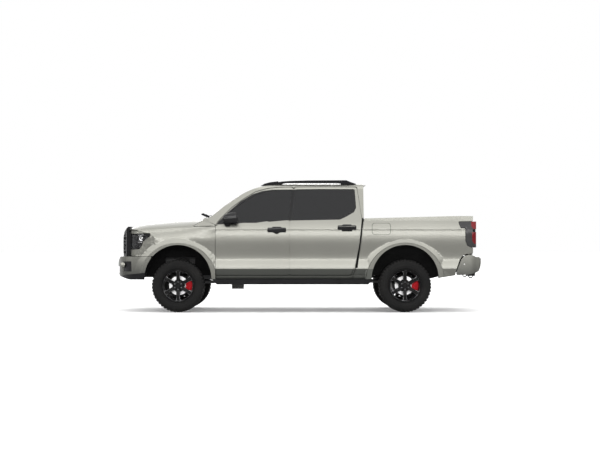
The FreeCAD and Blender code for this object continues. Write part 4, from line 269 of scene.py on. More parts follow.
# modelling helpers
def deselect():
    bpy.ops.object.select_all(action="DESELECT")


def pick(piece):
    deselect()
    piece.select_set(True)
    bpy.context.view_layer.objects.active = piece


def openMesh(piece):
    pick(piece)
    bpy.ops.object.mode_set(mode="EDIT")
    bpy.ops.mesh.select_all(action="SELECT")


def closeMesh():
    bpy.ops.object.mode_set(mode="OBJECT")


def smoothEdges(piece, angle):
    pick(piece)
    bpy.ops.object.shade_smooth_by_angle(angle=math.radians(angle))


def applied(piece, kind, **settings):
    pick(piece)
    modifier = piece.modifiers.new(kind.lower(), kind)
    for key, value in settings.items():
        setattr(modifier, key, value)
    bpy.ops.object.modifier_apply(modifier=modifier.name)


def settled(piece, name, body, finish):
    pick(piece)
    bpy.ops.object.transform_apply(location=True, rotation=True, scale=True)
    piece.name = name
    piece.data.name = name
    if finish:
        piece.data.materials.clear()
        piece.data.materials.append(finishes[finish])
    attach(piece, body)
    return piece


def nodeCopy(node, name):
    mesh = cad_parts[node].data.copy()
    piece = bpy.data.objects.new(name, mesh)
    bpy.context.scene.collection.objects.link(piece)
    pick(piece)
    bpy.ops.mesh.customdata_custom_splitnormals_clear()
    openMesh(piece)
    bpy.ops.mesh.remove_doubles(threshold=0.00002)
    closeMesh()
    mesh.materials.clear()
    return piece


# the body side seen from the front: half width and height, in metres
sideLine = [(0.994, 0.6784), (0.990, 0.7268), (0.981, 0.78136), (0.975, 0.8148), (0.973, 0.84736),
            (0.975, 0.8984), (0.981, 0.9556), (0.993, 1.048), (0.999, 1.12456), (0.997, 1.23016),
            (0.986, 1.3164), (0.962, 1.400)]
sillFoot = (0.945, 0.5772)


def naturalSlopes(xs, ys):
    count = len(xs)
    seconds = [0.0] * count
    helper = [0.0] * count
    for i in range(1, count - 1):
        share = (xs[i] - xs[i - 1]) / (xs[i + 1] - xs[i - 1])
        bottom = share * seconds[i - 1] + 2
        seconds[i] = (share - 1) / bottom
        rise = (ys[i + 1] - ys[i]) / (xs[i + 1] - xs[i]) - (ys[i] - ys[i - 1]) / (xs[i] - xs[i - 1])
        helper[i] = (6 * rise / (xs[i + 1] - xs[i - 1]) - share * helper[i - 1]) / bottom
    for i in range(count - 2, -1, -1):
        seconds[i] = seconds[i] * seconds[i + 1] + helper[i]
    return seconds


sideHeights = [z for _, z in sideLine]
sideWidths = [y for y, _ in sideLine]
sideBends = naturalSlopes(sideHeights, sideWidths)


def sideWidth(z):
    if z <= sideHeights[0]:
        # the sill leans in below the lowest point
        footWidth, footHeight = sillFoot
        return footWidth + (z - footHeight) * (sideWidths[0] - footWidth) / (sideHeights[0] - footHeight)
    i = min(max(k for k in range(len(sideHeights)) if sideHeights[k] <= z), len(sideHeights) - 2)
    gap = sideHeights[i + 1] - sideHeights[i]
    a, b = (sideHeights[i + 1] - z) / gap, (z - sideHeights[i]) / gap
    bend = ((a ** 3 - a) * sideBends[i] + (b ** 3 - b) * sideBends[i + 1]) * gap * gap / 6
    return a * sideWidths[i] + b * sideWidths[i + 1] + bend


def sliced(piece, axis, places):
    # cut through at each place along an axis, 0 for X to 2 for Z
    openMesh(piece)
    for place in places:
        at, way = [0, 0, 0], [0, 0, 0]
        at[axis], way[axis] = place, 1
        bpy.ops.mesh.select_all(action="SELECT")
        bpy.ops.mesh.bisect(plane_co=at, plane_no=way, threshold=panelLook["bisectWeld"])
    closeMesh()


# cuts through the panels, and how far a vertex may lie from the smooth skin, in metres
panelLook = {"smoothAngle": 32, "lowest": 0.58, "highest": 1.3995, "skinReach": 0.0035, "evened": 30,
             "flatDot": 0.955, "bisectWeld": 0.0001,
             "sideCuts": [0.5985 + 0.020 * i for i in range(41)],
             "fenderCuts": [-2.70 + 0.035 * i for i in range(41)],
             "hoodCuts": [-2.64 + 0.04 * i for i in range(28)],
             "hoodCrossCuts": [-0.84 + 0.04 * i for i in range(43)]}


def fairedSide(piece):
    # vertices on the outer skin go to the smooth line of the side
    for vertex in piece.data.vertices:
        x, y, z = vertex.co
        inRange = panelLook["lowest"] < z < panelLook["highest"]
        if inRange and abs(abs(y) - sideWidth(z)) < panelLook["skinReach"]:
            vertex.co.y = math.copysign(sideWidth(z), y)


def relaxedSkin(piece, test, times):
    # vertices inside a gently bent part of the skin are evened out across the truck
    mesh = piece.data
    normals = [[] for _ in mesh.vertices]
    for face in mesh.polygons:
        for index in face.vertices:
            normals[index].append(face.normal.copy())
    chosen = []
    for vertex in mesh.vertices:
        around = normals[vertex.index]
        flat = all(around[0].dot(normal) > panelLook["flatDot"] for normal in around[1:])
        chosen.append(bool(around) and flat and test(vertex.co, around[0]))
    openMesh(piece)
    bpy.ops.mesh.select_mode(type="VERT")
    bpy.ops.mesh.select_all(action="DESELECT")
    closeMesh()
    mesh.vertices.foreach_set("select", chosen)
    bpy.ops.object.mode_set(mode="EDIT")
    bpy.ops.mesh.vertices_smooth(factor=0.5, repeat=times, xaxis=False, yaxis=True, zaxis=False)
    closeMesh()


# the hood's upper skin: least and most upward slope, half length and width, powers, and misses in metres
topLook = {"up": 0.80, "down": -0.3, "halfSize": (0.6, 0.9), "xPowers": range(6), "yPowers": (0, 2, 4, 6, 8),
           "rounds": 4, "fairMiss": 0.004, "mostMiss": 0.007}


def fittedTop(piece):
    # the upper skin is laid on one smooth surface, fitted to its own points
    look = topLook
    mesh = piece.data
    upper = set()
    for face in mesh.polygons:
        if face.normal.z > look["up"]:
            upper.update(face.vertices)
    for face in mesh.polygons:
        if face.normal.z < look["down"]:
            upper.difference_update(face.vertices)
    spots = [mesh.vertices[i] for i in upper]
    middle = sum(v.co.x for v in spots) / len(spots)
    halfLength, halfWidth = look["halfSize"]

    def terms(at):
        x, y = (at.x - middle) / halfLength, at.y / halfWidth
        return [x ** i * y ** j for i in look["xPowers"] for j in look["yPowers"]]

    rows = numpy.array([terms(v.co) for v in spots])
    heights = numpy.array([v.co.z for v in spots])
    weights = numpy.ones(len(spots))
    for _ in range(look["rounds"]):
        best = numpy.linalg.lstsq(rows * weights[:, None], heights * weights, rcond=None)[0]
        miss = numpy.abs(rows @ best - heights)
        weights = 1 / (1 + (miss / look["fairMiss"]) ** 2)
    for vertex, height, off in zip(spots, rows @ best, miss):
        if off < look["mostMiss"]:
            vertex.co.z = float(height)


def facesInside(piece, test, finish):
    index = piece.data.materials.find(finishes[finish].name)
    if index < 0:
        piece.data.materials.append(finishes[finish])
        index = len(piece.data.materials) - 1
    for face in piece.data.polygons:
        if test(face.center, face.normal):
            face.material_index = index


def inOutline(outline, x, z):
    inside = False
    for (x0, z0), (x1, z1) in zip(outline, outline[1:] + outline[:1]):
        if (z0 > z) != (z1 > z) and x < (x1 - x0) * (z - z0) / (z1 - z0) + x0:
            inside = not inside
    return inside


def outlined(piece, outline, finish, test, hole=None):
    # the faces that pass the test are cut along an outline in the side view, and those inside it get a finish
    mesh = piece.data
    reach, slack, weld = 0.03, 0.002, 0.00002
    low = Vector((min(x for x, _ in outline) - reach, 0, min(z for _, z in outline) - reach))
    high = Vector((max(x for x, _ in outline) + reach, 0, max(z for _, z in outline) + reach))

    def near(face):
        xs = [mesh.vertices[i].co.x for i in face.vertices]
        zs = [mesh.vertices[i].co.z for i in face.vertices]
        return (test(face.center, face.normal) and max(xs) > low.x and min(xs) < high.x
                and max(zs) > low.z and min(zs) < high.z)

    for line in (outline, hole or []):
        for (x0, z0), (x1, z1) in zip(line, line[1:] + line[:1]):
            chosen = []
            for face in mesh.polygons:
                wanted = near(face)
                if wanted:
                    corners = [mesh.vertices[i].co for i in face.vertices]
                    spread = [(c.x - x0) * (z0 - z1) + (c.z - z0) * (x1 - x0) for c in corners]
                    along = [(c.x - x0) * (x1 - x0) + (c.z - z0) * (z1 - z0) for c in corners]
                    length = (x1 - x0) ** 2 + (z1 - z0) ** 2
                    wanted = (min(spread) < 0 < max(spread) and max(along) > -slack
                              and min(along) < length + slack)
                chosen.append(wanted)
            if not any(chosen):
                continue
            openMesh(piece)
            bpy.ops.mesh.select_mode(type="FACE")
            bpy.ops.mesh.select_all(action="DESELECT")
            closeMesh()
            mesh.polygons.foreach_set("select", chosen)
            bpy.ops.object.mode_set(mode="EDIT")
            bpy.ops.mesh.bisect(plane_co=(x0, 0, z0), plane_no=(z0 - z1, 0, x1 - x0), threshold=weld)
            closeMesh()
    facesInside(piece, lambda at, normal: test(at, normal) and inOutline(outline, at.x, at.z)
                and not (hole and inOutline(hole, at.x, at.z)), finish)


# metres a pixel at the door skins, the camera's distance from them, and the pixel and height of its axis
photoLook = {"scale": 0.01562, "distance": 23.5, "middle": (297, 246), "height": 1.037}


def seen(x, y, deep=0.0):
    # a point of the photograph on a plane that lies so many metres behind the door skins
    grow = photoLook["scale"] * (1 + deep / photoLook["distance"])
    middleX, middleY = photoLook["middle"]
    return ((x - middleX) * grow, photoLook["height"] + (middleY - y) * grow)


def seenLine(points, deep=0.0):
    return [seen(x, y, deep) for x, y in points]


def seenAt(points, side, deep=0.0):
    # the same points in space, in the plane of that Y
    return [(x, side, z) for x, z in seenLine(points, deep)]


def roundedLine(outline, radius, steps=3):
    made = []
    for i, here in enumerate(outline):
        before, after = Vector(outline[i - 1]), Vector(outline[(i + 1) % len(outline)])
        here = Vector(here)
        for k in range(steps + 1):
            share = k / steps
            first = here + (before - here).normalized() * radius
            last = here + (after - here).normalized() * radius
            point = first.lerp(here, share).lerp(here.lerp(last, share), share)
            made.append((point.x, point.y))
    return made


# black trim round the side windows, and painted shade along the filler door's line and in the gap behind the
# cab, by the photograph
trimLines = {
    "frontWindow": seenLine([(216.4, 224.6), (298.0, 220.3), (298.0, 189.0), (272, 189.3), (262, 190.6),
                             (252, 194.0), (240, 201.5), (228, 212.0), (218.0, 222.2)]),
    "rearWindow": seenLine([(286.0, 220.6), (340, 219.6), (347, 216.3), (354.2, 212.0), (356.4, 207.5),
                            (355.2, 189.0), (286.0, 189.0)]),
    "filler": roundedLine(seenLine([(372.0, 223.0), (372.0, 234.6), (390.8, 234.6), (390.8, 223.0)]),
                          0.045, 3),
    "pillar": seenLine([(284.0, 221.4), (300.0, 220.6), (300.0, 189.2), (284.0, 189.2)]),
    "bedGap": seenLine([(362.1, 218.0), (364.0, 218.0), (361.6, 238.0), (357.6, 268.0), (354.9, 268.0),
                        (359.6, 243.0)]),
}
bumperMarks = {
    "lampBlack": ((124.6, 261.4), (130.8, 261.4), (131.2, 271.6), (125.8, 271.6)),
    "blackPlastic": ((119.0, 276.2), (124.5, 274.8), (132, 274.2), (146.5, 272.6), (147.0, 283.0),
                     (118.0, 283.0)),
}
# heights and half widths, in metres, that part one finish from another
markLook = {"belt": 1.33, "cup": (1.22, 1.34), "cupWidth": 1.005, "fillerEdge": 0.0055, "bedWidth": 0.90,
            "bedTop": 1.43, "archWidth": 0.966, "archTop": 1.13, "archReach": 0.54, "archHeight": 0.531,
            "archRadius": 0.600, "axles": {"fenders": -1.86, "bed_shell": 1.69}, "skirt": 0.588,
            "stepPad": 0.80, "cowl": (-1.372, 0.74, 1.40, 1.503), "sill": 0.6785, "sillEnd": 1.35}


def shrunk(outline, amount):
    middle = Vector((sum(x for x, _ in outline) / len(outline), sum(z for _, z in outline) / len(outline)))
    made = []
    for x, z in outline:
        away = Vector((x, z)) - middle
        made.append(tuple(middle + away * (1 - amount / away.length)))
    return made


def outside(at, normal):
    return abs(normal.y) > 0.35 and abs(at.y) > 0.60 and normal.y * at.y > 0


def underArch(at, normal, axle):
    # the lip of a wheel arch and its inner walls
    run, rise = at.x - axle, at.z - markLook["archHeight"]
    return (math.hypot(run, rise) < markLook["archRadius"] and abs(at.y) > 0.5 and abs(normal.y) < 0.30
            and normal.x * run + normal.z * rise < 0)


def doorMarks(piece, window):
    cupLow, cupHigh = markLook["cup"]
    outlined(piece, trimLines[window], "glossBlack",
             lambda at, normal: outside(at, normal) and at.z > markLook["belt"])
    facesInside(piece, lambda at, normal: cupLow < at.z < cupHigh and abs(at.y) > markLook["cupWidth"],
                "blackPlastic")
    # painted shade: the door's jambs and inner faces are made near black, partly for the black seals
    facesInside(piece, lambda at, normal: normal.y * at.y < 0 or abs(normal.y) < 0.3, "sealsAndGapShade")


def bedMarks(piece):
    look = markLook
    # painted shade: a dark strip in the gap behind the cab and a dark ring for the filler door's groove, with
    # no groove cut
    outlined(piece, trimLines["bedGap"], "sealsAndGapShade", lambda at, normal: abs(at.y) > 0.93)
    outlined(piece, trimLines["filler"], "sealsAndGapShade", lambda at, normal: normal.y < -0.35 and at.y < -0.90,
             shrunk(trimLines["filler"], look["fillerEdge"]))
    facesInside(piece, lambda at, normal: abs(at.y) < look["bedWidth"] and at.z < look["bedTop"],
                "bedCoating")
    facesInside(piece, lambda at, normal: abs(at.y) < look["archWidth"] and at.z < look["archTop"]
                and abs(at.x - look["axles"]["bed_shell"]) < look["archReach"]
                and normal.y * at.y > -0.2, "linerFelt")


def cabMarks(piece):
    cowlFront, cowlSide, cowlLow, cowlHigh = markLook["cowl"]
    facesInside(piece, lambda at, normal: at.x < cowlFront and abs(at.y) < cowlSide
                and cowlLow < at.z < cowlHigh and normal.z > 0.2, "blackPlastic")
    # painted shade: the cab's skin inside the gap behind it is darkened
    outlined(piece, trimLines["bedGap"], "sealsAndGapShade", lambda at, normal: abs(at.y) > 0.80)
    outlined(piece, trimLines["pillar"], "glossBlack", lambda at, normal: abs(at.y) > 0.60)
    # painted shade: the cab's inner faces and its inside below 1.2 m are made near black
    facesInside(piece, lambda at, normal: normal.y * at.y < -0.02 or (abs(at.y) < 0.88 and at.z < 1.2),
                "sealsAndGapShade")


def bumperFinishes(piece, node):
    if node == "front_bumper":
        for finish, line in bumperMarks.items():
            outlined(piece, seenLine(line), finish,
                     lambda at, normal: abs(at.y) > 0.55 and normal.y * at.y > -0.1)
        facesInside(piece, lambda at, normal: normal.z < -0.6, "blackPlastic")
    else:
        facesInside(piece, lambda at, normal: normal.z < -0.6 or at.z < markLook["skirt"]
                    or (normal.z > 0.8 and abs(at.y) < markLook["stepPad"]), "blackPlastic")


def panelMarks(piece, node):
    if "_door_" in node:
        doorMarks(piece, node.split("_")[0] + "Window")
    if node == "bed_shell":
        bedMarks(piece)
    if node in markLook["axles"]:
        axle = markLook["axles"][node]
        facesInside(piece, lambda at, normal: underArch(at, normal, axle), "linerFelt")
    if "bumper" in node:
        bumperFinishes(piece, node)
    if node == "cab_shell":
        cabMarks(piece)


def panel(node, body, sides=True):
    piece = nodeCopy(node, node + "_panel")
    piece.data.materials.append(finishes["bumperPaint" if "bumper" in node else "paint"])
    if node == "fenders":
        sliced(piece, 0, panelLook["fenderCuts"])
        sliced(piece, 2, panelLook["sideCuts"])
        relaxedSkin(piece, lambda at, normal: abs(normal.y) > 0.55 and abs(at.y) > 0.8, panelLook["evened"])
    elif node == "hood":
        sliced(piece, 0, panelLook["hoodCuts"])
        sliced(piece, 1, panelLook["hoodCrossCuts"])
        fittedTop(piece)
    elif sides:
        sliced(piece, 2, panelLook["sideCuts"])
        fairedSide(piece)
    panelMarks(piece, node)
    smoothEdges(piece, panelLook["smoothAngle"])
    applied(piece, "WEIGHTED_NORMAL", keep_sharp=True)
    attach(piece, body)
    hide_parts(node)
    return piece


panels = {}
for side in ("left", "right"):
    for end in ("front", "rear"):
        node = "%s_door_%s" % (end, side)
        panels[node] = panel(node, node)
for node in ("cab_shell", "bed_shell", "fenders"):
    panels[node] = panel(node, "truck")
# painted reflection and shade: the outer faces below the sill line get the darker paint
for node, piece in panels.items():
    if node != "fenders":
        facesInside(piece, lambda at, normal: at.z < markLook["sill"] and abs(normal.y) > 0.5
                    and abs(at.y) > 0.9 and at.x < markLook["sillEnd"], "paintedSillShade")
panels["hood"] = panel("hood", "hood", False)
panels["tailgate"] = panel("tailgate", "tailgate", False)
for node in ("front_bumper", "rear_bumper"):
    panels[node] = panel(node, "truck", False)
print("panels made")


# drawing helpers: a line is drawn from one vertex by extruding it, as by hand
def drawnLine(points, closed=False):
    deselect()
    bpy.ops.mesh.primitive_plane_add(size=0.001, location=(0, 0, 0))
    piece = bpy.context.object
    bpy.ops.object.mode_set(mode="EDIT")
    bpy.ops.mesh.select_mode(type="VERT")
    bpy.ops.mesh.merge(type="CENTER")
    bpy.ops.transform.translate(value=points[0])
    here = Vector(points[0])
    for point in points[1:]:
        bpy.ops.mesh.extrude_region_move(TRANSFORM_OT_translate={"value": Vector(point) - here})
        here = Vector(point)
    bpy.ops.mesh.select_all(action="SELECT")
    if closed:
        bpy.ops.mesh.edge_face_add()
    return piece


def slab(points, shift, bevel=0.0, segments=2, angle=35):
    # a flat outline with a thickness, its edges rounded
    piece = drawnLine(points, True)
    bpy.ops.mesh.extrude_region_move(TRANSFORM_OT_translate={"value": shift})
    bpy.ops.mesh.select_all(action="SELECT")
    bpy.ops.mesh.normals_make_consistent(inside=False)
    closeMesh()
    if bevel:
        applied(piece, "BEVEL", width=bevel, segments=segments, limit_method="ANGLE",
                angle_limit=math.radians(30))
    smoothEdges(piece, angle)
    return piece


def spun(points, steps, closed=True, angle=30, axis=(0, 1, 0)):
    # a profile spun round an axis through the origin
    piece = drawnLine(points)
    if closed:
        bpy.ops.mesh.select_all(action="SELECT")
        bpy.ops.mesh.edge_face_add()
        bpy.ops.mesh.delete(type="ONLY_FACE")
    bpy.ops.mesh.select_all(action="SELECT")
    bpy.ops.mesh.spin(steps=steps, angle=math.radians(360), center=(0, 0, 0), axis=axis)
    bpy.ops.mesh.select_all(action="SELECT")
    bpy.ops.mesh.remove_doubles(threshold=0.00005)
    bpy.ops.mesh.normals_make_consistent(inside=False)
    closeMesh()
    smoothEdges(piece, angle)
    return piece


def withFinish(piece, finish):
    piece.data.materials.clear()
    piece.data.materials.append(finishes[finish])
    return piece


def copied(piece, turn=0.0, axis="Y", shift=(0, 0, 0), mirrored=False):
    # a copy with its own mesh, turned about an axis through the origin and shifted, or mirrored left to right
    twin = piece.copy()
    twin.data = piece.data.copy()
    bpy.context.scene.collection.objects.link(twin)
    twin.data.transform(Matrix.Translation(Vector(shift)) @ Matrix.Rotation(math.radians(turn), 4, axis))
    if mirrored:
        twin.data.transform(Matrix.Scale(-1, 4, (0, 1, 0)))
        twin.data.flip_normals()
    return twin


def joined(pieces):
    deselect()
    for piece in pieces:
        piece.select_set(True)
    bpy.context.view_layer.objects.active = pieces[0]
    bpy.ops.object.join()
    return pieces[0]


def bothSides(piece, name, body):
    # the left piece and its mirrored copy on the right; a %s stands for the side
    made = [piece, copied(piece, mirrored=True)]
    for whole, side in zip(made, ("left", "right")):
        settled(whole, name.replace("%s", side), body.replace("%s", side), None)
    return made


# wheels: one is modelled round the origin with its face towards -Y, then copied to its place
wheelLook = {"rimRadius": 0.265, "face": -0.1175, "hubRadius": 0.080, "spokes": 6, "nuts": 6,
             "nutCircle": 0.0575, "nutRadius": 0.0115, "steps": 84, "discRadius": 0.176, "discFace": 0.0395,
             "swept": (0.097, 0.151)}
tyreLook = {"halfWidth": 0.1375, "pitches": 46, "base": 0.4015, "lugTop": 0.4135}


def ring(points, finish, steps, closed=True):
    # a profile of depth and radius spun round the wheel's axis
    profile = [(0, depth, radius) for depth, radius in points]
    return withFinish(spun(profile, steps, closed), finish)


def circled(piece, count):
    # copies all round the wheel's axis, in place of the first
    made = [copied(piece, 360 / count * i) for i in range(count)]
    bpy.data.objects.remove(piece)
    return made


def wheelRim():
    look = wheelLook
    face, rim, steps = look["face"], look["rimRadius"], look["steps"]
    # depth behind the face and distance inside the rim's edge
    section = [(0.006, 0), (0, 0.004), (0, 0.013), (0.005, 0.018), (0.018, 0.026), (0.024, 0.030),
               (0.030, 0.036), (0.075, 0.040), (0.160, 0.046), (0.205, 0.040), (0.226, 0.018),
               (0.236, 0.006), (0.234, 0), (0.222, 0.003), (0.196, 0.028), (0.150, 0.034),
               (0.075, 0.030), (0.030, 0.018), (0.014, 0.006)]
    band = [(0.0185, 0.0272), (0.0232, 0.0305), (0.0242, 0.0295), (0.0195, 0.0262)]
    parts = [ring([(face + depth, rim - inset) for depth, inset in line], finish, steps)
             for line, finish in ((section, "wheelBlack"), (band, "millSilver"))]
    hub = [(0.024, 0), (0.024, 0.033), (0.020, 0.036), (0.020, 0.041), (0.030, 0.044), (0.033, 0.070),
           (0.038, look["hubRadius"]), (0.075, look["hubRadius"]), (0.082, 0.070), (0.082, 0)]
    parts.append(ring([(face + depth, radius) for depth, radius in hub], "wheelBlack", 48, False))
    corners = [math.radians(60 * i) for i in range(6)]
    nut = [(look["nutRadius"] * math.cos(turn), face + 0.034,
            look["nutCircle"] + look["nutRadius"] * math.sin(turn)) for turn in corners]
    parts += circled(withFinish(slab(nut, (0, -0.012, 0), 0.002), "nutBlack"), look["nuts"])
    # a spoke along +Z, wide at the rim, with milled edges
    side = [(0.036, 0.060), (0.0285, 0.105), (0.0275, 0.165), (0.0300, 0.205), (0.0385, 0.236)]
    outline = side + [(-x, z) for x, z in reversed(side)]
    spoke = slab([(x, face + 0.0245 + (0.010 if z < 0.10 else 0.0), z) for x, z in outline], (0, 0.034, 0),
                 0.0055, 1, 20)
    withFinish(spoke, "wheelBlack")
    facesInside(spoke, lambda at, normal: -0.95 < normal.y < -0.35 and abs(normal.x) > 0.4 and at.z > 0.09,
                "millSilver")
    # a sunk pocket along its middle
    outline = ((0.013, 0.115), (0.015, 0.214), (-0.015, 0.214), (-0.013, 0.115))
    pocket = slab([(x, face + 0.0235, z) for x, z in outline], (0, 0.008, 0))
    applied(spoke, "BOOLEAN", object=pocket, operation="DIFFERENCE", solver="EXACT")
    bpy.data.objects.remove(pocket)
    smoothEdges(spoke, 20)
    return joined(parts + circled(spoke, look["spokes"]))


def brakeDisc():
    look = wheelLook
    at, outer = look["discFace"], look["discRadius"]
    rim = [(0, -0.003), (0.002, 0), (0.008, 0), (0.009, -0.012), (0.016, -0.012), (0.017, 0), (0.024, 0),
           (0.026, -0.003)]
    bell = [(0.026, 0.150), (0.026, 0.098), (0.026, 0.084), (-0.030, 0.079), (-0.034, 0.070), (-0.034, 0.028),
            (-0.026, 0.028), (-0.026, 0.068), (0.012, 0.076)]
    section = [(at, 0.084), (at, 0.098), (at, 0.150)] + [(at + depth, outer + more) for depth, more in rim]
    disc = ring(section + [(at + depth, radius) for depth, radius in bell], "wheelBlack", 72)
    # the pads keep a band of the face bright
    inner, edge = look["swept"]
    facesInside(disc, lambda at, normal: abs(normal.y) > 0.9 and inner < math.hypot(at.x, at.z) < edge,
                "discSteel")
    return disc


def wheelTyre():
    look = tyreLook
    half = look["halfWidth"]
    # bead, sidewall with moulded rings, shoulder and tread base, then the same mirrored
    outer = [(0.030, 0.2655), (0.014, 0.268), (0.007, 0.277), (0.004, 0.284), (0.007, 0.288),
             (0.004, 0.297), (0.0012, 0.312), (-0.0003, 0.314), (-0.0003, 0.317), (0.0008, 0.319),
             (0, 0.336), (0.0012, 0.349), (0.0002, 0.351), (0.0006, 0.355), (0.003, 0.357),
             (0.0065, 0.370), (0.014, 0.384), (0.024, 0.394), (0.040, look["base"] - 0.002),
             (0.075, look["base"])]
    inner = [(0.032, 0.279), (0.013, 0.320), (0.018, 0.360)]
    outer = [(half - inset, radius) for inset, radius in outer]
    inner = [(half - inset, radius) for inset, radius in inner]
    section = [(-y, r) for y, r in outer] + [(0, look["base"] + 0.0015)]
    section += [(y, r) for y, r in reversed(outer)]
    section += inner + [(0, 0.385)] + [(-y, r) for y, r in reversed(inner)]
    casing = withFinish(spun([(0, y, r) for y, r in section], 92, True, 24), "tyreRubber")
    top = look["lugTop"]
    # tread blocks of one pitch: a shoulder lug that wraps the sidewall, and centre blocks
    blocks = []
    shoulder = [(0.005, -0.019, 0.371), (0.0115, -0.019, 0.398), (0.026, -0.020, top - 0.004),
                (0.058, -0.017, top), (0.060, -0.017, 0.398), (0.026, -0.020, 0.389)]
    for sign, lag in ((-1, 0.0), (1, 0.5)):
        lug = slab([(x, sign * (half - inset), z) for inset, x, z in shoulder], (0.036, 0, 0), 0.0022, 1)
        blocks.append(copied(lug, 360 / look["pitches"] * lag))
        bpy.data.objects.remove(lug)
    foot = look["base"] - 0.003
    for outline in (((-0.020, -0.071), (0.012, -0.066), (0.016, -0.040), (-0.003, -0.034), (-0.018, -0.042)),
                    ((-0.012, -0.026), (0.017, -0.022), (0.021, 0.004), (0.004, 0.010), (-0.014, 0.002)),
                    ((-0.016, 0.020), (0.010, 0.018), (0.019, 0.044), (0.002, 0.054), (-0.019, 0.046))):
        blocks.append(slab([(x, y, foot) for x, y in outline], (0, 0, top - look["base"] + 0.003), 0.0018, 1))
    unit = withFinish(joined(blocks), "tyreRubber")
    return joined([casing] + circled(unit, look["pitches"]))


wheelPlaces = {"front": (-1.86, 0.8605, 0.415), "rear": (1.69, 0.8605, 0.415)}
modelRim, modelDisc, modelTyre = wheelRim(), brakeDisc(), wheelTyre()
rimParts = joined([modelRim, modelDisc])
for end, (x, y, z) in wheelPlaces.items():
    for side, way in (("left", -1), ("right", 1)):
        for kind, model in (("rim", rimParts), ("tyre", modelTyre)):
            piece = copied(model, 0 if way < 0 else 180, axis="Z", shift=(x, way * y, z))
            node = "%s_%s_%s" % (end, kind, side)
            settled(piece, node + "_piece", "%s_wheel_%s" % (end, side), None)
            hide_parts(node)
bpy.data.objects.remove(rimParts)
bpy.data.objects.remove(modelTyre)
print("wheels made")

# door handles: a bar with wide ends over a dark cup, copied to the four doors
handleLook = {
    "inner": 0.988, "outer": 1.0315, "bevel": 0.0055,
    "places": {"front": (276.8, 230.3), "rear": (347.0, 228.0)},
    "bar": ((-9.3, -1.6), (-8.8, -2.6), (-4.6, -2.7), (-3.6, -3.6), (3.6, -3.6), (4.6, -2.7), (8.8, -2.6),
            (9.3, -1.6), (9.3, 1.0), (8.8, 1.9), (4.4, 1.7), (3.4, 2.3), (-3.4, 2.3), (-4.4, 1.7),
            (-8.8, 1.9), (-9.3, 1.0)),
    "cup": ((-5.4, -2.0), (-4.2, -3.6), (4.2, -3.6), (5.4, -2.0), (5.4, 3.4), (4.2, 4.6), (-4.2, 4.6),
            (-5.4, 3.4)),
}
for end, (x, y) in handleLook["places"].items():
    barLine, cupLine = ([(x + u, y + v) for u, v in handleLook[part]] for part in ("bar", "cup"))
    bar = slab(seenAt(barLine, -handleLook["inner"]), (0, handleLook["inner"] - handleLook["outer"], 0),
               handleLook["bevel"], 3)
    cup = slab(seenAt(cupLine, -0.984), (0, -0.010, 0), 0.004, 2)
    handle = withFinish(joined([bar, cup]), "glossBlack")
    bothSides(handle, end + "_handle_%s", end + "_door_%s")
print("handles made")

# door mirrors
mirrorLook = {
    "outer": 1.188, "inner": 1.030, "bevel": 0.022,
    "head": ((222.4, 218.6), (225.6, 214.6), (231.0, 213.0), (236.6, 212.8), (237.9, 216.4), (238.1, 222.6),
             (230.0, 222.8), (223.6, 221.4)),
    "shell": ((224.0, 221.2), (238.0, 222.2), (237.4, 223.6), (226.2, 223.0)),
    "blinker": ((224.2, 218.2), (236.9, 217.2), (236.9, 218.4), (224.6, 219.4)),
    "stalk": ((223.8, 221.4), (231.0, 221.8), (229.6, 226.2), (225.2, 226.2)),
}
inner, outer = mirrorLook["inner"], mirrorLook["outer"]
head = withFinish(slab(seenAt(mirrorLook["head"], -inner), (0, inner - outer, 0), mirrorLook["bevel"], 4, 50),
                  "glossBlack")
facesInside(head, lambda at, normal: normal.x > 0.86, "mirrorGlass")
mirrorParts = [head]
for part, start, thick, bevel, steps, finish in (("shell", 0.012 - inner, 0.150, 0.006, 2, "blackPlastic"),
                                                 ("blinker", 0.006 - outer, 0.0065, 0.002, 2, "lampSmoke"),
                                                 ("stalk", -0.972, 0.085, 0.012, 3, "blackPlastic")):
    piece = slab(seenAt(mirrorLook[part], start), (0, -thick, 0), bevel, steps)
    mirrorParts.append(withFinish(piece, finish))
mirrors = bothSides(joined(mirrorParts), "mirror_%s_piece", "front_door_%s")
for piece, side in zip(mirrors, ("left", "right")):
    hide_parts("mirror_" + side)
print("mirrors made")

# tail lamps: the CAD form with its lenses marked
tailLook = {
    "lampRed": (((471.2, 221.5), (478, 221.5), (478, 228.9), (473.4, 228.9), (471.6, 226.5)),
                ((472.0, 232.2), (478, 232.2), (478, 243.8), (474.2, 243.8), (472.4, 241.0))),
    "clearLens": (((473.2, 229.1), (478, 229.1), (478, 232.0), (472.8, 232.0)),),
}


def lampFace(at, normal):
    return normal.x > 0.05 or abs(normal.y) > 0.3


tailLamp = nodeCopy("tail_lamps", "tail_lamps_piece")
tailLamp.data.materials.append(finishes["lampSmoke"])
for finish, lines in tailLook.items():
    for line in lines:
        outlined(tailLamp, seenLine(line), finish, lampFace)
# painted shade: the lamp's inner faces, towards the body, are made near black
facesInside(tailLamp, lambda at, normal: abs(at.y) < 0.9 and normal.x < 0.3, "sealsAndGapShade")
applied(tailLamp, "BEVEL", width=0.004, segments=2, limit_method="ANGLE", angle_limit=math.radians(40))
smoothEdges(tailLamp, 35)
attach(tailLamp, "truck")
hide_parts("tail_lamps")
print("tail lamps made")

# headlamps: a clear cover over a dark housing
coverLamp = nodeCopy("headlamps", "headlamp_covers")
coverLamp.data.materials.append(finishes["clearLens"])
smoothEdges(coverLamp, 35)
housing = nodeCopy("headlamps", "headlamp_housings")
housing.data.materials.append(finishes["lampBlack"])
applied(housing, "DISPLACE", strength=-0.012, mid_level=0.0)
smoothEdges(housing, 35)
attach(coverLamp, "truck")
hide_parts("headlamps")
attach(housing, "truck")
print("headlamps made")


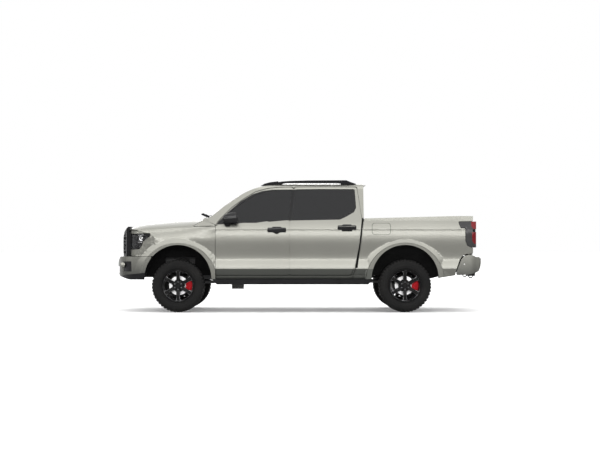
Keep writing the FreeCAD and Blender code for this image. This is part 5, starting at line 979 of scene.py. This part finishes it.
def disc(x, y, deep, radius, thick, finish):
    # a round button with a domed face, lying at |y| = 1 - deep
    px, pz = seen(x, y, deep)
    face = -1.0 + deep
    dome = [(-thick, 0), (-thick, 0.45), (-thick * 0.8, 0.8), (-thick * 0.3, 1), (0.004, 1), (0.004, 0)]
    piece = ring([(face + depth, radius * share) for depth, share in dome], finish, 24, False)
    piece.data.transform(Matrix.Translation((px, 0, pz)))
    return piece


# parking sensors: x and y in the photograph, depth behind the door skins
sensors = {"front_sensor": (145.5, 267.5, 0.0), "rear_sensor": (464.3, 264.2, 0.0155)}
for name, place in sensors.items():
    bothSides(disc(*place, 0.011, 0.002, "plateBlank"), name + "_%s", "truck")

# headlamp: projector bowl, lens and bright strips on the housing, turned with the corner of the nose
lampLook = {
    "turn": 47, "centre": (141.2, 238.0), "deep": 0.118,
    "bowl": ((0.012, 0.020), (-0.002, 0.036), (-0.004, 0.040), (0.002, 0.041), (0.016, 0.024)),
    "lens": ((-0.006, 0.0), (-0.004, 0.010), (0.002, 0.018), (0.012, 0.020), (0.012, 0.0)),
    "strips": ((0.030, 0.036, -0.095, -0.045), (-0.050, -0.044, -0.080, 0.045),
               (-0.074, -0.066, -0.085, 0.030), (0.044, 0.048, -0.105, 0.075)),
    "second": ((0.014, 0.012), (0.0, 0.024), (-0.002, 0.027), (0.006, 0.028), (0.016, 0.014)),
}


def lampInside():
    look = lampLook
    parts = [ring(look["bowl"], "chromeTrim", 32), ring(look["lens"], "plateBlank", 32, False)]
    for low, high, left, right in look["strips"]:
        strip = slab([(left, -0.004, low), (right, -0.004, low + 0.004),
                      (right - 0.006, -0.004, high + 0.004), (left + 0.006, -0.004, high)],
                     (0, 0.010, 0), 0.0015, 1)
        parts.append(withFinish(strip, "chromeTrim"))
    second = ring(look["second"], "chromeTrim", 28)
    second.data.transform(Matrix.Translation((-0.078, 0.0, 0.002)))
    parts.append(second)
    whole = joined(parts)
    px, pz = seen(*look["centre"], look["deep"])
    turned = Matrix.Rotation(math.radians(-look["turn"]), 4, "Z")
    whole.data.transform(Matrix.Translation((px, -1.0 + look["deep"], pz)) @ turned)
    return whole


bothSides(lampInside(), "headlamp_projector_%s", "truck")

# the round end of the front bumper's bar
knobLine = ((120.2, 263.2), (122.2, 262.2), (125.6, 262.6), (126.2, 265.0), (125.0, 267.6), (121.0, 267.2))
knob = withFinish(slab(seenAt(knobLine, -0.70, 0.25), (0, -0.085, 0), 0.018, 3, 50), "paint")
bothSides(knob, "bumper_knob_%s", "truck")

# wipers: a pivot, a bent arm and a blade, lying on the windscreen's foot
wiperLook = {
    "screenFoot": (-1.392, 1.506), "screenLean": 33, "lift": 0.006, "places": ((-0.56, 0.52), (0.10, 0.50)),
    "knuckle": ((-1.442, 1.496), (-1.520, 1.533), (-1.524, 1.548), (-1.490, 1.560), (-1.430, 1.528),
                (-1.424, 1.500)),
}


def wiper(pivotY, reach):
    # drawn flat, x up the screen and y along it, then leaned back onto the glass
    look = wiperLook
    middle = reach * 0.52
    pivot = spun([(0.0, 0.0, 0.022), (0.009, 0.0, 0.019), (0.014, 0.0, 0.008), (0.014, 0.0, 0.0)], 20, False,
                 axis=(0, 0, 1))
    arm = slab([(-0.005, 0, 0.010), (0.006, 0, 0.010), (0.052, middle, 0.012), (0.044, middle, 0.012)],
               (0, 0, 0.007), 0.002, 1)
    blade = slab([(0.026, reach * 0.02, 0.004), (0.034, reach * 0.02, 0.004), (0.064, reach, 0.004),
                  (0.056, reach, 0.004)], (0, 0, 0.010), 0.002, 1)
    whole = withFinish(joined([pivot, arm, blade]), "blackPlastic")
    footX, footZ = look["screenFoot"]
    lean = Matrix.Rotation(math.radians(-look["screenLean"]), 4, "Y")
    whole.data.transform(Matrix.Translation((footX - 0.035, pivotY, footZ - 0.020 + look["lift"])) @ lean)
    knuckle = slab([(x, pivotY - 0.012, z) for x, z in look["knuckle"]], (0, 0.024, 0), 0.006, 2)
    return joined([whole, withFinish(knuckle, "blackPlastic")])


wipers = joined([wiper(*place) for place in wiperLook["places"]])
openMesh(wipers)
bpy.ops.mesh.normals_make_consistent(inside=False)
closeMesh()
settled(wipers, "wipers", "truck", None)

# painted corners between the fenders' tops and the feet of the windscreen pillars
cornerLook = {"line": ((-1.600, 0.905, 1.338), (-1.292, 0.982, 1.338), (-1.284, 0.975, 1.398),
                       (-1.398, 0.951, 1.470), (-1.446, 0.895, 1.482), (-1.505, 0.790, 1.428),
                       (-1.560, 0.845, 1.372)),
              "depth": (0, 0.10, -0.035), "bevel": 0.004}
corner = slab([(x, -y, z) for x, y, z in cornerLook["line"]], cornerLook["depth"], cornerLook["bevel"], 2, 25)
bothSides(withFinish(corner, "paint"), "cowl_corner_%s", "truck")

# feet of the roof rails, drawn on the photograph
footLook = {
    "front": ((260.4, 186.0), (264.6, 183.6), (270.0, 182.2), (278.5, 181.2), (276.4, 184.4), (275.6, 185.6)),
    "rear": ((356.6, 184.0), (350.2, 181.8), (344.8, 181.2), (346.2, 184.4), (347.2, 185.2)),
    "outer": 0.6545, "depth": 0.028, "bevel": 0.004,
}
feet = [slab(seenAt(footLook[end], -footLook["outer"], 1 - footLook["outer"]), (0, footLook["depth"], 0),
             footLook["bevel"], 2) for end in ("front", "rear")]
bothSides(withFinish(joined(feet), "blackPlastic"), "rail_feet_%s", "truck")

# a blank plate on the rear bumper and a handle on the tailgate, each with its half width and height
rearLook = {"plateX": 2.891, "plateZ": 0.735, "plate": (0.26, 0.26, 0.056), "gateX": 2.7345, "handleZ": 1.375,
            "handle": (0.125, 0.110, 0.030)}


def rearSlab(x, z, size, thick, bevel, steps, segments):
    low, top, high = size
    outline = roundedLine([(-low, -high), (low, -high), (top, high), (-top, high)], 0.012, steps)
    return slab([(x, y, z + up) for y, up in outline], (thick, 0, 0), bevel, segments)


plate = rearSlab(rearLook["plateX"], rearLook["plateZ"], rearLook["plate"], 0.004, 0.0008, 2, 1)
settled(withFinish(plate, "plateBlank"), "plate_blank", "truck", None)
latch = rearSlab(rearLook["gateX"], rearLook["handleZ"], rearLook["handle"], 0.018, 0.004, 3, 3)
settled(withFinish(latch, "glossBlack"), "tailgate_handle", "tailgate", None)
print("fittings made")

# seats: crowned pads with sewn channels
seatLook = {"seam": 0.007, "channel": 0.045, "pull": 0.045, "crown": 0.34}


def pad(name, centre, size, turn, seams=(), cross=(), body="truck"):
    deselect()
    bpy.ops.mesh.primitive_cube_add(size=2, location=(0, 0, 0))
    piece = bpy.context.object
    openMesh(piece)
    bpy.ops.mesh.subdivide(number_cuts=15)
    closeMesh()
    look = seatLook
    half = [s / 2 for s in size]
    for vertex in piece.data.vertices:
        u, v, w = vertex.co
        fall = (1 - abs(u) ** 5 * look["crown"]) * (1 - abs(v) ** 5 * look["crown"])
        x = u * (1 - look["pull"] * (1 - v * v)) * (1 - 0.10 * abs(v) ** 6) * (1 - 0.06 * w * w)
        y = v * (1 - look["pull"] * (1 - u * u)) * (1 - 0.10 * abs(u) ** 6) * (1 - 0.06 * w * w)
        z = w * fall * 0.94
        if abs(w) > 0.9:
            groove = max([math.exp(-((v - seam) / look["channel"]) ** 2) for seam in seams] + [0.0])
            groove = max([groove] + [math.exp(-((u - seam) / look["channel"]) ** 2) for seam in cross])
            z -= math.copysign(look["seam"] / half[2] * groove, w)
        vertex.co = (x * half[0], y * half[1], z * half[2])
    applied(piece, "SUBSURF", levels=1, render_levels=1)
    pick(piece)
    bpy.ops.object.shade_smooth()
    piece.data.transform(Matrix.Translation(centre) @ Matrix.Rotation(math.radians(turn), 4, "Y"))
    settled(piece, name, body, "seatCloth")
    return piece


frontPads = []
for side, y in (("left", -0.378), ("right", 0.378)):
    frontPads += [
        pad("seat_cushion_" + side, (-0.235, y, 0.985), (0.53, 0.38, 0.150), -6, (-0.45, 0.45), (0.35,)),
        pad("seat_back_" + side, (0.035, y, 1.255), (0.56, 0.36, 0.130), -76, (-0.45, 0.45), (-0.3, 0.2)),
        pad("seat_headrest_" + side, (0.090, y, 1.560), (0.150, 0.24, 0.095), -80),
    ]
    for edge in (-1, 1):
        where = "%s_%s" % (side, "in" if edge * y < 0 else "out")
        frontPads += [
            pad("seat_wing_" + where, (-0.235, y + edge * 0.215, 1.000), (0.50, 0.085, 0.165), -6),
            pad("seat_ear_" + where, (0.022, y + edge * 0.205, 1.235), (0.50, 0.075, 0.150), -76),
        ]
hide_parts("front_seats")
benchPads = []
for number, y in enumerate((-0.432, 0.0, 0.432)):
    benchPads += [
        pad("bench_cushion_%d" % number, (0.590, y, 0.985), (0.50, 0.425, 0.145), -5, (-0.5, 0.5)),
        pad("bench_back_%d" % number, (0.865, y, 1.250), (0.55, 0.425, 0.120), -78, (-0.5, 0.5), (0.1,)),
        pad("bench_headrest_%d" % number, (0.905, y, 1.560), (0.140, 0.24, 0.085), -82),
    ]
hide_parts("rear_bench")
# front and rear at the floor, front and rear at the top, edge and width across, in metres
seatBases = []
for front, rear, topFront, topRear, y, width in (
        (-0.47, 0.06, -0.45, 0.03, -0.568, 0.38), (-0.47, 0.06, -0.45, 0.03, 0.188, 0.38),
        (0.33, 0.93, 0.36, 0.93, -0.62, 1.24)):
    seatBases.append(slab([(front, y, 0.755), (rear, y, 0.755), (topRear, y, 0.905), (topFront, y, 0.915)],
                          (0, width, 0), 0.012, 2))
settled(joined(seatBases), "seat_bases", "truck", "cabinPlastic")
print("seats made")

# camera as it stood for the photograph
cameraPlace = {"location": (0.0, -24.5, 1.037), "aim": (0.047, -1.0, 1.365), "lens": 90.3}
cameraData = bpy.data.cameras.new("camera")
camera = bpy.data.objects.new("camera", cameraData)
bpy.context.scene.collection.objects.link(camera)
cameraData.sensor_width = 36
cameraData.lens = cameraPlace["lens"]
cameraData.clip_end = 300
camera.location = cameraPlace["location"]
camera.rotation_mode = "QUATERNION"
sight = Vector(cameraPlace["aim"]) - Vector(cameraPlace["location"])
camera.rotation_quaternion = sight.to_track_quat("-Z", "Y")
bpy.context.scene.camera = camera

# floor, world and lamps
stageLook = {"floorSize": 400, "floorColour": (0.86, 0.86, 0.86), "lift": 0.10}


def showing(tree):
    rays = [tree.node("ShaderNodeLightPath", None, None, output) for output in (0, 3, 6)]
    return rays[0].over(rays[1]).over(rays[2])


def floorFinish():
    material, tree = newFinish("floor")
    wear = tree.noise(0.6, 2)
    plain = tree.node("ShaderNodeBsdfPrincipled", None,
                      {"Base Color": tree.blend(wear * 0.05, stageLook["floorColour"], (0.83, 0.83, 0.83)),
                       "Roughness": 0.9})
    lift = tree.node("ShaderNodeEmission", None,
                     {"Color": (1, 1, 1), "Strength": showing(tree) * stageLook["lift"]})
    both = tree.node("ShaderNodeAddShader", None, {0: plain, 1: lift})
    tree.node("ShaderNodeOutputMaterial", None, {"Surface": both})
    return material


deselect()
bpy.ops.mesh.primitive_plane_add(size=stageLook["floorSize"], location=(0, 0, 0))
floor = bpy.context.object
floor.name = "floor"
floor.data.materials.append(floorFinish())

world = bpy.data.worlds.new("studio")
bpy.context.scene.world = world
skyTree = NodeTree(world)
skyHeight = skyTree.split(skyTree.node("ShaderNodeTexCoord"), 2)
skyRamp = skyTree.node("ShaderNodeValToRGB", {"stops": [
    (0.0, (0.80, 0.80, 0.80)), (0.50, (1.0, 1.0, 1.0)), (0.585, (1.0, 1.0, 1.0)), (0.63, (4.2, 4.2, 4.2)),
    (0.80, (3.4, 3.4, 3.4)), (1.0, (3.2, 3.2, 3.2))]}, {0: skyHeight * 0.5 + 0.5})
skyFill = skyTree.node("ShaderNodeValToRGB", {"stops": [
    (0.0, (0.35, 0.35, 0.35)), (0.50, (0.40, 0.40, 0.40)), (1.0, (1.45, 1.45, 1.45))]},
    {0: skyHeight * 0.5 + 0.5})
skyTree.node("ShaderNodeOutputWorld", None, {"Surface": skyTree.node("ShaderNodeBackground", None, {
    "Color": skyTree.blend(showing(skyTree), skyFill, skyRamp)})})

lampLooks = {
    # name: place, aimed at, size across and deep, watts
    "ceiling": ((0.0, -0.5, 6.5), (0.0, 0.0, 0.0), 9.0, 5.0, 200),
    "leftStrip": ((0.0, -30.0, 5.6), (0.0, -1.0, 1.2), 34.0, 2.6, 3000),
    "rightStrip": ((0.0, 30.0, 5.6), (0.0, 1.0, 1.2), 34.0, 2.6, 3000),
    "frontPanel": ((-24.0, -2.0, 5.0), (-2.6, 0.0, 1.0), 12.0, 3.0, 500),
    "rearPanel": ((24.0, -2.0, 5.0), (2.6, 0.0, 1.0), 12.0, 3.0, 500),
}
for name, (place, aim, across, deep, watts) in lampLooks.items():
    data = bpy.data.lights.new(name, "AREA")
    data.shape = "RECTANGLE"
    data.size, data.size_y, data.energy = across, deep, watts
    lamp = bpy.data.objects.new(name, data)
    lamp.location = place
    lamp.rotation_mode = "QUATERNION"
    lamp.rotation_quaternion = (Vector(aim) - Vector(place)).to_track_quat("-Z", "Y")
    bpy.context.scene.collection.objects.link(lamp)

view = bpy.context.scene.view_settings
view.view_transform = "Standard"
print("stage set")
